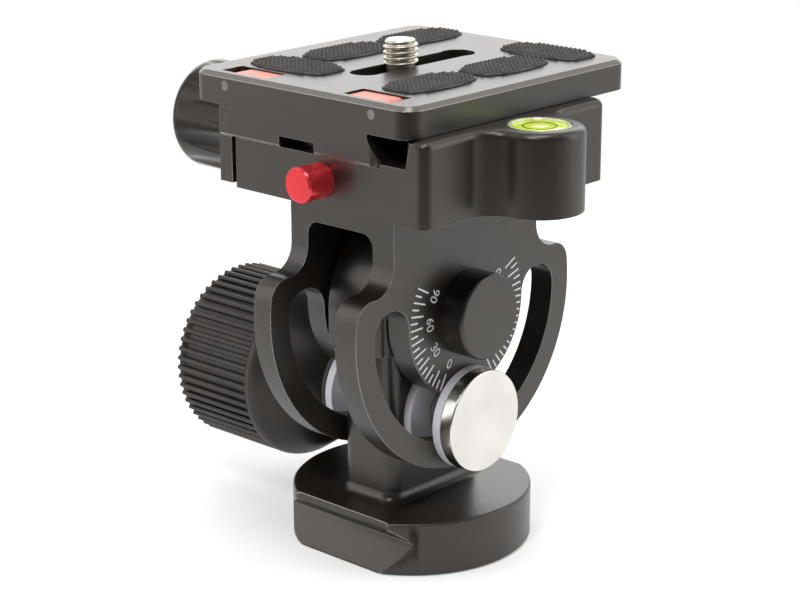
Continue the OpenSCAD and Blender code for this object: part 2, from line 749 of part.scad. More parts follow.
module button_spring() color(steel) difference() {
    bar_y(button_r - side_gap, button_bore_end - button_spring_l, button_bore_end, button_x, screw_z);
    bar_y(button_rod_r + side_gap, clamp_front, clamp_rear, button_x, screw_z);
}

module moving_jaw() color(black_metal) difference() {
    low_z = seat_z + jaw_lift;
    thick_y(clamp_front, clamp_rear) polygon([[jaw_x, low_z], [jaw_x + jaw_h, low_z],
        [jaw_x + jaw_h, bed_z - run_gap], [-foot_half - run_gap, bed_z - run_gap],
        [-foot_half - run_gap, land_z], [-plate_neck - run_gap, slope_z],
        [-plate_neck - run_gap, flange_low - free_gap], [jaw_x, flange_low - free_gap]]);
    bar_x(jaw_screw_r + run_gap, jaw_x - past, body_x, clamp_mid, screw_z);
    guide_places() bar_x(guide_r + seat_gap, jaw_x + guide_wall, body_x);
}

module jaw_guides() color(steel) guide_places()
    bar_x(guide_r, jaw_x + guide_wall, body_x + guide_reach);

// The scalloped knob that closes the jaw
module jaw_knob() color(black_metal) translate([0, clamp_mid, screw_z]) {
    run_out_x = jaw_end_x + scallop_end;
    scallop_z = jaw_knob_r + scallop_r - scallop_depth;
    difference() {
        union() {
            bar_x(jaw_hub_r, jaw_grip_x - past, jaw_hub_x);
            bar_x(jaw_knob_r, jaw_end_x, jaw_grip_x);
        }
        // Scallops with ball ends, turned so that no surface's seam lies in them
        for (i = [0:jaw_knob_scallops - 1]) rotate([i * 360 / jaw_knob_scallops, 0, 0])
            translate([run_out_x, 0, scallop_z]) rotate([180, 0, 0]) {
                bar_x(scallop_r, 0, jaw_grip_x + past - run_out_x);
                rotate([90, 0, 0]) sphere(scallop_r);
            }
        translate([jaw_end_x, 0, 0]) turned_edge(jaw_knob_r, jaw_knob_edge);
        bar_x(jaw_screw_r + seat_gap, jaw_grip_x - jaw_screw_grip, jaw_hub_x + past);
    }
}
module jaw_screw() color(steel)
    bar_x(jaw_screw_r, jaw_grip_x - jaw_screw_grip, body_x + jaw_screw_reach, clamp_mid, screw_z);

module release_button() color(red) {
    edge = 0.4;
    face = clamp_front - button_out;
    bar_y(button_r, face + edge, button_shoulder, button_x, screw_z);
    translate([button_x, face, screw_z]) rotate([-90, 0, 0])
        cylinder(r1 = button_r - edge, r2 = button_r, h = edge);
    bar_y(button_rod_r, button_shoulder - eps, cam_front + cam_l, button_x, screw_z);
    translate([button_x, cam_front, screw_z - button_rod_r])
        cube([pin_offset + pin_r, cam_l, cam_top - screw_z + button_rod_r]);
}

module safety_pin() color(steel) translate([pin_x, pin_y, pin_foot_z])
    cylinder(r = pin_r, h = bed_z + pin_out - pin_foot_z);

// A slab with round corners and a chamfer round its top
module chamfered_slab(w, l, h, r, c) {
    module side(half) {
        polygon([[-half, 0], [half, 0], [half, h - c], [half - c, h], [c - half, h], [-half, h - c]]);
    }
    thick_y(r - l / 2, l / 2 - r) side(w / 2);
    thick_x(r - w / 2, w / 2 - r) side(l / 2);
    for (x = [-1, 1], y = [-1, 1]) translate([x * (w / 2 - r), y * (l / 2 - r), 0]) {
        cylinder(r = r, h = h - c);
        translate([0, 0, h - c]) cylinder(r1 = r, r2 = r - c, h = c);
    }
}

module camera_plate() color(black_metal) difference() {
    union() {
        translate([0, 0, flange_low])
            chamfered_slab(plate_w, plate_l, deck_z - flange_low, plate_corner, plate_chamfer);
        intersection() {
            thick_y(-plate_l / 2, plate_l / 2) polygon([[-foot_half, foot_z], [foot_half, foot_z],
                [foot_half, land_z], [plate_neck, slope_z], [plate_neck, flange_low + past],
                [-plate_neck, flange_low + past], [-plate_neck, slope_z], [-foot_half, land_z]]);
            // The foot's corners are round, but for the one at the moving jaw's front end
            translate([0, 0, foot_z]) linear_extrude(deck_z - foot_z) {
                round_rect([-foot_half, -plate_l / 2], [foot_half, plate_l / 2], foot_corner);
                translate([-foot_half, -plate_l / 2]) square(foot_corner);
            }
        }
    }
    // Camera slot, its way out and the channel of the screw's head
    translate([0, 0, foot_z - past]) linear_extrude(deck_z - foot_z + 2 * past) {
        round_rect([-camera_slot_w / 2, slot_y0], [camera_slot_w / 2, slot_y1],
            camera_slot_w / 2 - eps);
        translate([0, slot_y1 - camera_exit_r]) circle(camera_exit_r);
    }
    translate([0, 0, foot_z - past]) linear_extrude(channel_top - foot_z + past)
        round_rect([-channel_half, slot_y0 - screw_neck_r - past],
            [channel_half, slot_y1 + screw_neck_r + past], channel_corner);
    // Groove of the safety pin
    translate([pin_x, 0, foot_z - past]) linear_extrude(past + pin_out + free_gap)
        round_rect([-pin_r - rub_gap, pin_y - pin_r - plate_backward - free_gap],
            [pin_r + rub_gap, pin_y + pin_r + plate_forward + free_gap], pin_r);
    // Notch under the front end
    translate([-notch_w / 2, -plate_l / 2 - past, foot_z - past])
        cube([notch_w, notch_l + past, notch_h + past]);
    // Windows and pin holes of the fold-up stops
    for (side = [-1, 1]) {
        translate([0, 0, window_floor]) linear_extrude(deck_z)
            round_rect([side > 0 ? window_in : -window_out, window_y0],
                [side > 0 ? window_out : -window_in, window_y1], window_corner);
        bar_y(stop_pin_r + seat_gap, -plate_l / 2 - past, window_y1 + stop_pin_grip,
            side * hinge_x, hinge_z);
    }
}

// A rubber pad: a barrel outline bounded by four arcs, long along Y before it is turned
module pad(x, y, turn) {
    across = pad_side_r - pad_w / 2;
    along = pad_end_r - pad_len / 2;
    color(dark_rubber) translate([x, y, deck_z]) rotate([0, 0, turn])
        linear_extrude(pad_h) intersection() {
            translate([across, 0]) circle(pad_side_r);
            translate([-across, 0]) circle(pad_side_r);
            translate([0, along]) circle(pad_end_r);
            translate([0, -along]) circle(pad_end_r);
        }
}
module pad_front_left() pad(-pad_cross_x, pad_front_y, 90);
module pad_mid_left() pad(-pad_side_x, pad_front_y + pad_next, 0);
module pad_rear_left() pad(-pad_side_x, pad_front_y + pad_next + pad_step, 0);
module pad_front_right() pad(pad_side_x, pad_rear_y - pad_next - pad_step, 0);
module pad_mid_right() pad(pad_side_x, pad_rear_y - pad_next, 0);
module pad_rear_right() pad(pad_cross_x, pad_rear_y, 90);

module stop_pin(side) color(steel)
    bar_y(stop_pin_r, run_gap - plate_l / 2, window_y1 + stop_pin_grip, side * hinge_x, hinge_z);
module stop_pin_left() stop_pin(-1);
module stop_pin_right() stop_pin(1);

// A fold-up stop: a flap with a round end about its pin
module stop(side) color(coral) difference() {
    thick_y(window_y0 + side_gap, window_y1 - side_gap) {
        translate([side * hinge_x, hinge_z]) circle(stop_half);
        translate([side > 0 ? stop_end : -hinge_x, hinge_z - stop_half])
            square([hinge_x - stop_end, 2 * stop_half]);
    }
    bar_y(stop_pin_r + run_gap, window_y0 - past, window_y1 + past, side * hinge_x, hinge_z);
}
module stop_left() stop(-1);
module stop_right() stop(1);

module screw_slider() color(steel) translate([0, screw_y, slider_z]) difference() {
    linear_extrude(slider_h) round_rect([-screw_head_r, -screw_head_r], [screw_head_r, screw_head_r],
        channel_corner);
    translate([0, 0, -past]) cylinder(r = screw_neck_r + run_gap, h = slider_h + 2 * past);
}

module camera_screw() color(steel) translate([0, screw_y, 0]) difference() {
    tip = 0.6;
    union() {
        translate([0, 0, screw_head_z]) cylinder(r = screw_head_r, h = screw_head_h);
        translate([0, 0, screw_head_z]) cylinder(r = screw_neck_r, h = thread_z + eps - screw_head_z);
        translate([0, 0, thread_z]) cylinder(r = thread_r, h = thread_l - tip);
        translate([0, 0, thread_z + thread_l - tip]) cylinder(r1 = thread_r, r2 = thread_r - tip, h = tip);
    }
    translate([-screw_head_r - past, -coin_slot_w / 2, screw_head_z - past])
        cube([2 * screw_head_r + 2 * past, coin_slot_w, past + coin_slot_h]);
}

base_stem();
thread_bush();
pivot_bush_left();
pivot_bush_right();
clamp_bolt();
bolt_washer();
fork_washer_left();
fork_washer_right();
knob_washer();
tilt_knob();
tilt_knob_insert();
yoke();
pivot_axle();
pivot_cap_left();
pivot_cap_right();
clamp_body();
yoke_screws();
level_cup();
level_vial();
jaw_springs();
button_spring();
moving_jaw();
jaw_guides();
jaw_knob();
jaw_screw();
release_button();
safety_pin();
camera_plate();
pad_front_left();
pad_mid_left();
pad_rear_left();
pad_front_right();
pad_mid_right();
pad_rear_right();
stop_pin_left();
stop_pin_right();
stop_left();
stop_right();
screw_slider();
camera_screw();
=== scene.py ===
"""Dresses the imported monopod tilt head: soft edges, ribs, bumps, thread, level, scale and a studio."""

import math

import bmesh
import bpy
from bpy.props import FloatProperty, FloatVectorProperty, IntProperty, PointerProperty
from mathutils import Matrix, Vector


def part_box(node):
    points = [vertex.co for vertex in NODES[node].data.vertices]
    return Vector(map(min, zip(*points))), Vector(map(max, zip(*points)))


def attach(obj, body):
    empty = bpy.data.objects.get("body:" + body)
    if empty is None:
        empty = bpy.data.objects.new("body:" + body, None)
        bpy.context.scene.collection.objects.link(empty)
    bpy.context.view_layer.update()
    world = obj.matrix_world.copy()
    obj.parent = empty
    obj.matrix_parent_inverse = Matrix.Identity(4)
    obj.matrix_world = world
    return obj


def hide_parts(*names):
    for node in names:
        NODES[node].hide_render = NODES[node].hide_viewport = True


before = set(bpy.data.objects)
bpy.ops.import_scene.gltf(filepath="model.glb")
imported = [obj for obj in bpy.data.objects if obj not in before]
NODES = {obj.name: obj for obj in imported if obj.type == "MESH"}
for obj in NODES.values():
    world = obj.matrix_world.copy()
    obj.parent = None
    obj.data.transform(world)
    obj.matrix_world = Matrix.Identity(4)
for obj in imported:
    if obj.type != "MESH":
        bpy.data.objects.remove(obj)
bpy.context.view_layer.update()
MM = 0.001
MATH = "ShaderNodeMath"
# Points nearer to each other than this lie in one plane
TOUCH = 0.01 * MM
# Corners of a CAD mesh nearer to each other than this are one corner
WELD = 0.002 * MM
# Neighbouring faces that lean to each other by less than this are one flat face
FLAT = math.radians(0.4)
# How strongly large flat faces draw the shading of the narrow ones beside them
FLAT_WEIGHT = 80
# How much bare metal shows on an edge that is handled, from 0 to 1
RUBBED = 0.85
# The sheen of dyed oxide and of rubber is a little brown
WARM = (1.0, 0.94, 0.89, 1.0)
# The part of a noise's range in which nearly all its values lie, for the clouds and for the grain
CLOUD_BAND = (0.35, 0.65)
GRAIN_BAND = (0.3, 0.7)
# How much less rough bare metal is than the oxide beside it
POLISH = 0.1
# How bright drawn wire is beside turned steel
WIRE_SHADE = 0.27
# How soon a rib of the tilt knob reaches its full width: in the ninth part of half its length
RIB_RUN_OUT = 9.0
# Half a bump's diagonal as a share of the spacing, its top as a share of its foot, and the bare strip round
# the pad as a share of the spacing
BUMP_FOOT = 0.54
BUMP_TOP = 0.45
BUMP_STRIP = 0.4

bl_info = {
    "name": "Monopod tilt head",
    "version": (1, 0, 0),
    "blender": (4, 5, 0),
    "location": "View3D > Sidebar > Tilt head",
    "description": "Builds the looks of a monopod tilt head round its CAD frame",
    "category": "Object",
}


def linear(code):
    """A colour written as sRGB hex, as linear red, green and blue."""
    parts = [int(code[i : i + 2], 16) / 255 for i in (1, 3, 5)]
    return tuple(c / 12.92 if c <= 0.04045 else ((c + 0.055) / 1.055) ** 2.4 for c in parts)


def length(name, says, millimetres):
    """A length property with its default in millimetres."""
    return FloatProperty(name=name, description=says, default=millimetres * MM, precision=6, unit="LENGTH")


def colour(name, says, code):
    """A colour property with its default as sRGB hex."""
    return FloatVectorProperty(name=name, description=says, size=3, subtype="COLOR", default=linear(code))


class TiltHeadSizes(bpy.types.PropertyGroup):
    """Sizes that a user would change; the solids' own sizes come from the frame."""

    metal_edge: length("Metal edge", "Width of the broken edges of the machined metal", 0.26)
    fine_edge: length("Fine edge", "Width of the broken edges of small parts", 0.15)
    plate_edge: length("Plate edge", "Width of the broken edges of the camera plate", 0.2)
    foot_edge: length("Foot edge", "Width of the broken edge along the front of the plate's foot", 0.4)
    clamp_edge: length("Clamp edge", "Width of the round along the clamp's upper rim", 1.4)
    post_edge: length("Post edge", "Width of the round beside the clamp's front notch", 1.0)
    knob_ribs: IntProperty(name="Knob ribs", description="Number of ribs round the tilt knob", default=56)
    rib_radius: length("Rib radius", "Half width of a rib of the tilt knob", 0.52)
    rib_depth: length("Rib depth", "Depth of the grooves between the tilt knob's ribs", 0.8)
    knob_flutes: IntProperty(name="Flutes", description="Number of flutes round the jaw knob", default=11)
    flute_depth: length("Flute depth", "Depth of the jaw knob's flutes at its hub", 1.15)
    flute_radius: length("Flute radius", "Radius of the jaw knob's flutes", 4.0)
    bump_across: length("Bump spacing across", "Spacing of the pads' bumps across the pad", 1.05)
    bump_along: length("Bump spacing along", "Spacing of the pads' bumps along the pad", 1.05)
    thread_pitch: length("Thread pitch", "Pitch of the camera screw's thread", 1.0)
    thread_depth: length("Thread depth", "Depth of the camera screw's thread", 0.5)
    tick_outer: length("Tick radius", "Distance of the ticks' outer ends from the tilt axis", 15.4)
    tick_long: length("Long tick", "Length of the ticks at every ten degrees", 3.2)
    tick_short: length("Short tick", "Length of the ticks between them", 1.8)
    tick_width: length("Tick width", "Width of the printed ticks", 0.32)
    number_radius: length("Number radius", "Distance of the numbers' middles from the tilt axis", 10.3)
    number_height: length("Number height", "Height of the printed numbers", 1.9)
    print_height: length("Print height", "How far the print stands out of the metal", 0.03)


class TiltHeadColours(bpy.types.PropertyGroup):
    """Colours of the finishes."""

    black: colour("Black anodising", "Dyed oxide of the machined aluminium", "#211c18")
    knob: colour("Knob rubber", "Moulded rubber of the tilt knob", "#26211e")
    pad: colour("Pad rubber", "Moulded rubber of the plate's pads", "#4e4a49")
    steel: colour("Steel", "Turned stainless steel", "#d8d5d0")
    nickel: colour("Nickel", "Dull nickel plating of the camera screw", "#cbc3b6")
    bare: colour("Bare edge", "Metal that shows along the edges of the black parts", "#b4afa9")
    brass: colour("Brass", "Turned brass of the hidden bushes", "#c6a664")
    nylon: colour("Nylon", "White nylon of the washers", "#ecebf2")
    red: colour("Red anodising", "Dyed oxide of the release button", "#ee4046")
    coral: colour("Stop plastic", "Moulded plastic of the fold-up stops", "#ee7763")
    lime: colour("Level liquid", "Liquid of the bubble level", "#d8f01e")
    acrylic: colour("Level rim", "Clear rim of the bubble level", "#dfe8a8")
    ring: colour("Level ring", "Printed ring of the bubble level", "#4a5c10")
    bubble: colour("Level bubble", "Bubble of the level", "#eaf58a")
    ink: colour("Printing ink", "White ink of the scale", "#f4f3f0")


# Materials


def add(tree, kind, inputs=(), **settings):
    """Adds a node with its settings; each input is a value, or the socket or sockets that feed it."""
    node = tree.nodes.new(kind)
    for key, value in settings.items():
        setattr(node, key, value)
    for key, value in inputs.items() if isinstance(inputs, dict) else enumerate(inputs):
        for feed in value if isinstance(value, list) else [value]:
            if isinstance(feed, bpy.types.NodeSocket):
                tree.links.new(feed, node.inputs[key])
            else:
                node.inputs[key].default_value = feed
    return node


def surface(name, tints, roughness, grain_mm, bump_mm, cloud_mm=9.0, stretch=(1, 1, 1), edge=None, **shader):
    """A material whose tint clouds over, with a fine grain that roughens and dents it.

    Where edge is a colour, faces marked as an edge show it as bare, smoother metal.
    """
    material = bpy.data.materials.get(name)
    if material:
        return material
    material = bpy.data.materials.new(name)
    material.use_nodes = True
    tree = material.node_tree
    tree.nodes.clear()
    place = add(tree, "ShaderNodeTexCoord").outputs["Object"]
    drawn = add(tree, "ShaderNodeMapping", {"Vector": place, "Scale": stretch}).outputs["Vector"]
    cloud = add(tree, "ShaderNodeTexNoise", {"Vector": place, "Scale": 1 / (cloud_mm * MM), "Detail": 3.0})
    grain = add(tree, "ShaderNodeTexNoise", {"Vector": drawn, "Scale": 1 / (grain_mm * MM), "Detail": 2.0})
    height = grain.outputs["Fac"]
    ramp = add(tree, "ShaderNodeValToRGB", {"Fac": cloud.outputs["Fac"]})
    for stop, position, shade in zip(ramp.color_ramp.elements, CLOUD_BAND, tints):
        stop.position = position
        stop.color = (*shade, 1)
    tint = ramp.outputs["Color"]
    gloss = add(tree, "ShaderNodeMapRange", {
        "Value": height, "From Min": GRAIN_BAND[0], "From Max": GRAIN_BAND[1],
        "To Min": roughness[0], "To Max": roughness[1]}).outputs["Result"]
    if edge:
        worn = add(tree, "ShaderNodeAttribute", attribute_name="edge").outputs["Fac"]
        tint = add(tree, "ShaderNodeMix", {0: worn, 6: tint, 7: (*edge, 1)}, data_type="RGBA").outputs[2]
        gloss = add(tree, MATH, (worn, -POLISH, gloss), operation="MULTIPLY_ADD").outputs[0]
        shader["Metallic"] = worn
    dents = add(tree, "ShaderNodeBump", {"Height": height, "Strength": 1.0, "Distance": bump_mm * MM})
    skin = add(tree, "ShaderNodeBsdfPrincipled", {
        "Base Color": tint, "Roughness": gloss, "Normal": dents.outputs["Normal"], **shader})
    add(tree, "ShaderNodeOutputMaterial", {"Surface": skin.outputs["BSDF"]})
    return material


def shades(base, spread):
    """Two tints a little below and above a colour."""
    return [tuple(min(1.0, c * factor) for c in base) for factor in (1 - spread, 1 + spread)]


def finish(slot):
    """The material of one of the record's slots, of a piece that differs from its slot, or of the print.

    Blast grit and tool marks are finer than a pixel, so the grains are drawn at 0.2 to 0.5 mm to show.
    """
    c = bpy.context.scene.tilt_head_colours
    # Aluminium, blasted then black anodised: satin, with an even grit and a soft sheen at flat angles
    if slot == "black_metal":
        return surface("black_anodised_blasted_aluminium", shades(c.black, 0.15), roughness=(0.30, 0.36),
                       grain_mm=0.30, bump_mm=0.001, edge=c.bare,
                       **{"Specular IOR Level": 0.72, "Specular Tint": WARM})
    # Aluminium, turned smooth then black anodised: glossier than the blasted parts
    if slot == "glossy_black":
        return surface("black_anodised_turned_aluminium", shades(c.black, 0.1), roughness=(0.17, 0.21),
                       grain_mm=0.30, bump_mm=0.0005, edge=c.bare,
                       **{"Specular IOR Level": 0.24, "Specular Tint": WARM})
    # Rubber skin, moulded on the knob: dull, slightly cloudy from handling
    if slot == "knob_plastic":
        return surface("moulded_knob_rubber", shades(c.knob, 0.2), roughness=(0.40, 0.52), grain_mm=0.45,
                       bump_mm=0.010, **{"Specular IOR Level": 0.5, "Specular Tint": WARM})
    # Rubber, moulded in sheets: dry, with a dusty bloom
    if slot == "pad_rubber":
        return surface("moulded_pad_rubber", shades(c.pad, 0.18), roughness=(0.62, 0.78), grain_mm=0.25,
                       bump_mm=0.010, cloud_mm=2.5)
    # Stainless steel, turned and faced: bright, with fine straight tool marks
    if slot == "steel":
        return surface("turned_stainless_steel", shades(c.steel, 0.06), roughness=(0.23, 0.27), grain_mm=0.30,
                       bump_mm=0.0002, stretch=(1.0, 0.12, 1.0), Metallic=1.0)
    # Steel, threaded and nickel plated: warm, softer than the turned parts
    if slot == "nickel":
        return surface("nickel_plated_steel", shades(c.nickel, 0.08), roughness=(0.33, 0.40), grain_mm=0.25,
                       bump_mm=0.001, Metallic=1.0)
    # Steel wire, drawn and cut: duller and darker than the turned parts
    if slot == "wire":
        return surface("drawn_steel_wire", shades([WIRE_SHADE * v for v in c.steel], 0.15),
                       roughness=(0.30, 0.42), grain_mm=0.20, bump_mm=0.002, Metallic=1.0)
    # Brass, turned: warm and bright
    if slot == "brass":
        return surface("turned_brass", shades(c.brass, 0.08), roughness=(0.24, 0.36), grain_mm=0.25,
                       bump_mm=0.003, Metallic=1.0)
    # Nylon, moulded and faced: white, waxy, with a broad soft sheen
    if slot == "nylon":
        return surface("turned_white_nylon", shades(c.nylon, 0.03), roughness=(0.36, 0.46), grain_mm=0.4,
                       bump_mm=0.004)
    # Aluminium, turned and red anodised: coloured mirror with a fine turned grain
    if slot == "red_metal":
        return surface("red_anodised_turned_aluminium", shades(c.red, 0.08), roughness=(0.24, 0.27),
                       grain_mm=0.4, bump_mm=0.0001, Metallic=0.6)
    # ABS, moulded in red: satin, slightly milky
    if slot == "red_plastic":
        return surface("moulded_red_abs", shades(c.coral, 0.06), roughness=(0.36, 0.48), grain_mm=0.3,
                       bump_mm=0.004)
    # Dyed spirit under a clear cap: glossy, with a painted glow in its own colour from a weak emission
    if slot == "level_liquid":
        return surface("dyed_level_spirit", shades(c.lime, 0.06), roughness=(0.06, 0.12), grain_mm=1.2,
                       bump_mm=0.002, **{"Coat Weight": 1.0, "Emission Color": (*c.lime, 1),
                                         "Emission Strength": 0.3})
    # Acrylic, cast: clear over the spirit, so that it takes a pale tint of it, with a polished rim
    if slot == "acrylic":
        return surface("cast_clear_acrylic", shades(c.acrylic, 0.04), roughness=(0.08, 0.14), grain_mm=1.5,
                       bump_mm=0.002, **{"Coat Weight": 1.0})
    # Ink, printed on the vial: a thin dark green line
    if slot == "ring":
        return surface("printed_green_ring", shades(c.ring, 0.06), roughness=(0.3, 0.4), grain_mm=0.6,
                       bump_mm=0.002)
    # Air in the spirit: paler than the liquid, with a wet gloss
    if slot == "bubble":
        return surface("air_bubble", shades(c.bubble, 0.05), roughness=(0.05, 0.1), grain_mm=0.8,
                       bump_mm=0.002)
    # Ink, pad printed: matt white, a little uneven
    return surface("pad_printed_white_ink", shades(c.ink, 0.04), roughness=(0.5, 0.62), grain_mm=0.3,
                   bump_mm=0.002)


def paint(slot, *nodes):
    """Gives CAD nodes that stay in view the finish of their slot."""
    for name in nodes:
        NODES[name].data.materials.clear()
        NODES[name].data.materials.append(finish(slot))


# Pieces


def settle(mesh, name, body, slot, *nodes, material=None):
    """Makes a finished mesh a piece that rides on a body and stands for CAD nodes."""
    if not mesh.polygons:
        raise RuntimeError(f"{name} came out empty")
    mesh.name = name
    mesh.materials.clear()
    mesh.materials.append(material or finish(slot))
    piece = bpy.data.objects.new(name, mesh)
    bpy.context.scene.collection.objects.link(piece)
    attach(piece, body)
    if nodes:
        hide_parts(*nodes)
    return piece


def plain(piece):
    """The evaluated mesh of an object, which is then removed."""
    graph = bpy.context.evaluated_depsgraph_get()
    mesh = bpy.data.meshes.new_from_object(piece.evaluated_get(graph), depsgraph=graph)
    bpy.data.objects.remove(piece)
    if not mesh.polygons:
        raise RuntimeError("a piece came out empty")
    return mesh


def merged(*nodes):
    """Copies of CAD nodes with their loose triangles welded and flat faces joined."""
    bm = bmesh.new()
    for name in nodes:
        bm.from_mesh(NODES[name].data)
    bmesh.ops.remove_doubles(bm, verts=bm.verts[:], dist=WELD)
    bmesh.ops.dissolve_limit(bm, angle_limit=FLAT, verts=bm.verts[:], edges=bm.edges[:])
    return bm


def bevelled(bm, edges, says, width, **how):
    """Bevels or rounds the edges that were found, and gives the new faces."""
    if not edges:
        raise RuntimeError(f"{says} wasn't found")
    return bmesh.ops.bevel(bm, geom=edges, offset=width, offset_type="OFFSET", affect="EDGES",
                           clamp_overlap=False, **how)["faces"]


def soft_edged(bm, name, width, segments=2, limit=28, wear=0.55):
    """A plain mesh with broken edges, whose new faces carry their wear for the finish."""
    for face in bm.faces:
        face.smooth = True
    mesh = bpy.data.meshes.new(name)
    bm.to_mesh(mesh)
    bm.free()
    for _ in range(2):
        mesh.materials.append(None)
    piece = bpy.data.objects.new(name, mesh)
    bpy.context.scene.collection.objects.link(piece)
    bevel = piece.modifiers.new("edges", "BEVEL")
    bevel.width = width
    bevel.segments = segments
    bevel.limit_method = "ANGLE"
    bevel.angle_limit = math.radians(limit)
    bevel.material = 1
    piece.modifiers.new("flats", "WEIGHTED_NORMAL").weight = FLAT_WEIGHT
    mesh = plain(piece)
    marks = [0] * len(mesh.polygons)
    mesh.polygons.foreach_get("material_index", marks)
    mesh.attributes.new("edge", "FLOAT", "FACE").data.foreach_set("value", [wear * m for m in marks])
    mesh.polygons.foreach_set("material_index", [0] * len(marks))
    return mesh


def edged(name, body, slot, width, *nodes, **how):
    """One piece that stands for CAD nodes: copies of them with broken edges."""
    return settle(soft_edged(merged(*nodes), name, width, **how), name, body, slot, *nodes)


def lathe(profile, steps):
    """A closed solid turned about Z from (radius, height) points that start and end on the axis.

    A radius may be a function of the angle.
    """
    bm = bmesh.new()
    rings = []
    for radius, height in profile:
        ring = []
        for i in range(1 if radius == 0 else steps):
            angle = 2 * math.pi * i / steps
            out = radius(angle) if callable(radius) else radius
            ring.append(bm.verts.new((out * math.cos(angle), out * math.sin(angle), height)))
        rings.append(ring)
    for low, high in zip(rings, rings[1:]):
        for i in range(steps):
            j = (i + 1) % steps
            corners = [low[i % len(low)], low[j % len(low)], high[j % len(high)], high[i % len(high)]]
            bm.faces.new(list(dict.fromkeys(corners)))
    bmesh.ops.recalc_face_normals(bm, faces=bm.faces[:])
    return bm


def moved(bm, matrix):
    """The same mesh, put in its place."""
    bmesh.ops.transform(bm, verts=bm.verts[:], matrix=matrix)
    return bm


def shaded(bm, name, angle=30):
    """A mesh with smooth faces and sharp edges above an angle."""
    for face in bm.faces:
        face.smooth = True
    for edge in bm.edges:
        edge.smooth = len(edge.link_faces) == 2 and edge.calc_face_angle(0) < math.radians(angle)
    mesh = bpy.data.meshes.new(name)
    bm.to_mesh(mesh)
    bm.free()
    return mesh


def middle(node):
    """The middle of a CAD node's box."""
    low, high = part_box(node)
    return (low + high) / 2


# Geometry Nodes


def new_tree(name, **inputs):
    """An empty geometry tree with named inputs, and the sockets that give them."""
    tree = bpy.data.node_groups.new(name, "GeometryNodeTree")
    tree.interface.new_socket("Geometry", in_out="INPUT", socket_type="NodeSocketGeometry")
    for label, kind in inputs.items():
        tree.interface.new_socket(label.replace("_", " "), in_out="INPUT", socket_type="NodeSocket" + kind)
    tree.interface.new_socket("Geometry", in_out="OUTPUT", socket_type="NodeSocketGeometry")
    return tree, add(tree, "NodeGroupInput").outputs


def end_tree(tree, geometry, material):
    """Ends a tree with real geometry and its material."""
    real = add(tree, "GeometryNodeRealizeInstances", {"Geometry": geometry})
    painted = add(tree, "GeometryNodeSetMaterial", {"Geometry": real.outputs[0], "Material": material})
    add(tree, "NodeGroupOutput", {"Geometry": painted.outputs[0]})
    return tree


def grown(mesh, tree, **values):
    """The plain mesh that a geometry tree makes of a mesh, with the tree's inputs set first."""
    piece = bpy.data.objects.new(tree.name, mesh)
    bpy.context.scene.collection.objects.link(piece)
    modifier = piece.modifiers.new(tree.name, "NODES")
    modifier.node_group = tree
    for item in tree.interface.items_tree:
        label = item.name.replace(" ", "_")
        if item.in_out == "INPUT" and label in values:
            modifier[item.identifier] = values[label]
    return plain(piece)


def rib_tree():
    """Ribs along X, set round a circle: round bars that run out at both ends."""
    tree, given = new_tree("knob_ribs", Count="Int", Circle="Float", Rib="Float", Low="Float", High="Float",
                           Place="Vector", Material="Material")
    start = add(tree, "ShaderNodeCombineXYZ", {"Z": given["Low"]}).outputs[0]
    end = add(tree, "ShaderNodeCombineXYZ", {"Z": given["High"]}).outputs[0]
    line = add(tree, "GeometryNodeCurvePrimitiveLine", {"Start": start, "End": end})
    points = add(tree, "GeometryNodeResampleCurve", {"Curve": line.outputs[0], "Count": 25})
    along = add(tree, "GeometryNodeSplineParameter").outputs["Factor"]
    centred = add(tree, MATH, (along, 2.0, -1.0), operation="MULTIPLY_ADD").outputs[0]
    from_middle = add(tree, MATH, (centred,), operation="ABSOLUTE").outputs[0]
    from_end = add(tree, MATH, (1.0, from_middle), operation="SUBTRACT").outputs[0]
    run_out = add(tree, MATH, (from_end, RIB_RUN_OUT), operation="MULTIPLY", use_clamp=True).outputs[0]
    taper = add(tree, MATH, (run_out, 0.5), operation="POWER").outputs[0]
    sized = add(tree, "GeometryNodeSetCurveRadius", {"Curve": points.outputs[0], "Radius": taper})
    section = add(tree, "GeometryNodeCurvePrimitiveCircle", {"Resolution": 10, "Radius": given["Rib"]})
    bar = add(tree, "GeometryNodeCurveToMesh", {
        "Curve": sized.outputs[0], "Profile Curve": section.outputs[0], "Fill Caps": True})
    ring = add(tree, "GeometryNodeMeshCircle", {"Vertices": given["Count"], "Radius": given["Circle"]})
    bars = add(tree, "GeometryNodeInstanceOnPoints", {"Points": ring.outputs[0], "Instance": bar.outputs[0]})
    turned = add(tree, "GeometryNodeTransform", {
        "Geometry": bars.outputs[0], "Rotation": (0, math.pi / 2, 0), "Translation": given["Place"]})
    smooth = add(tree, "GeometryNodeSetShadeSmooth", {"Geometry": turned.outputs[0]})
    both = add(tree, "GeometryNodeJoinGeometry", {"Geometry": [smooth.outputs[0], given["Geometry"]]})
    return end_tree(tree, both.outputs[0], given["Material"])


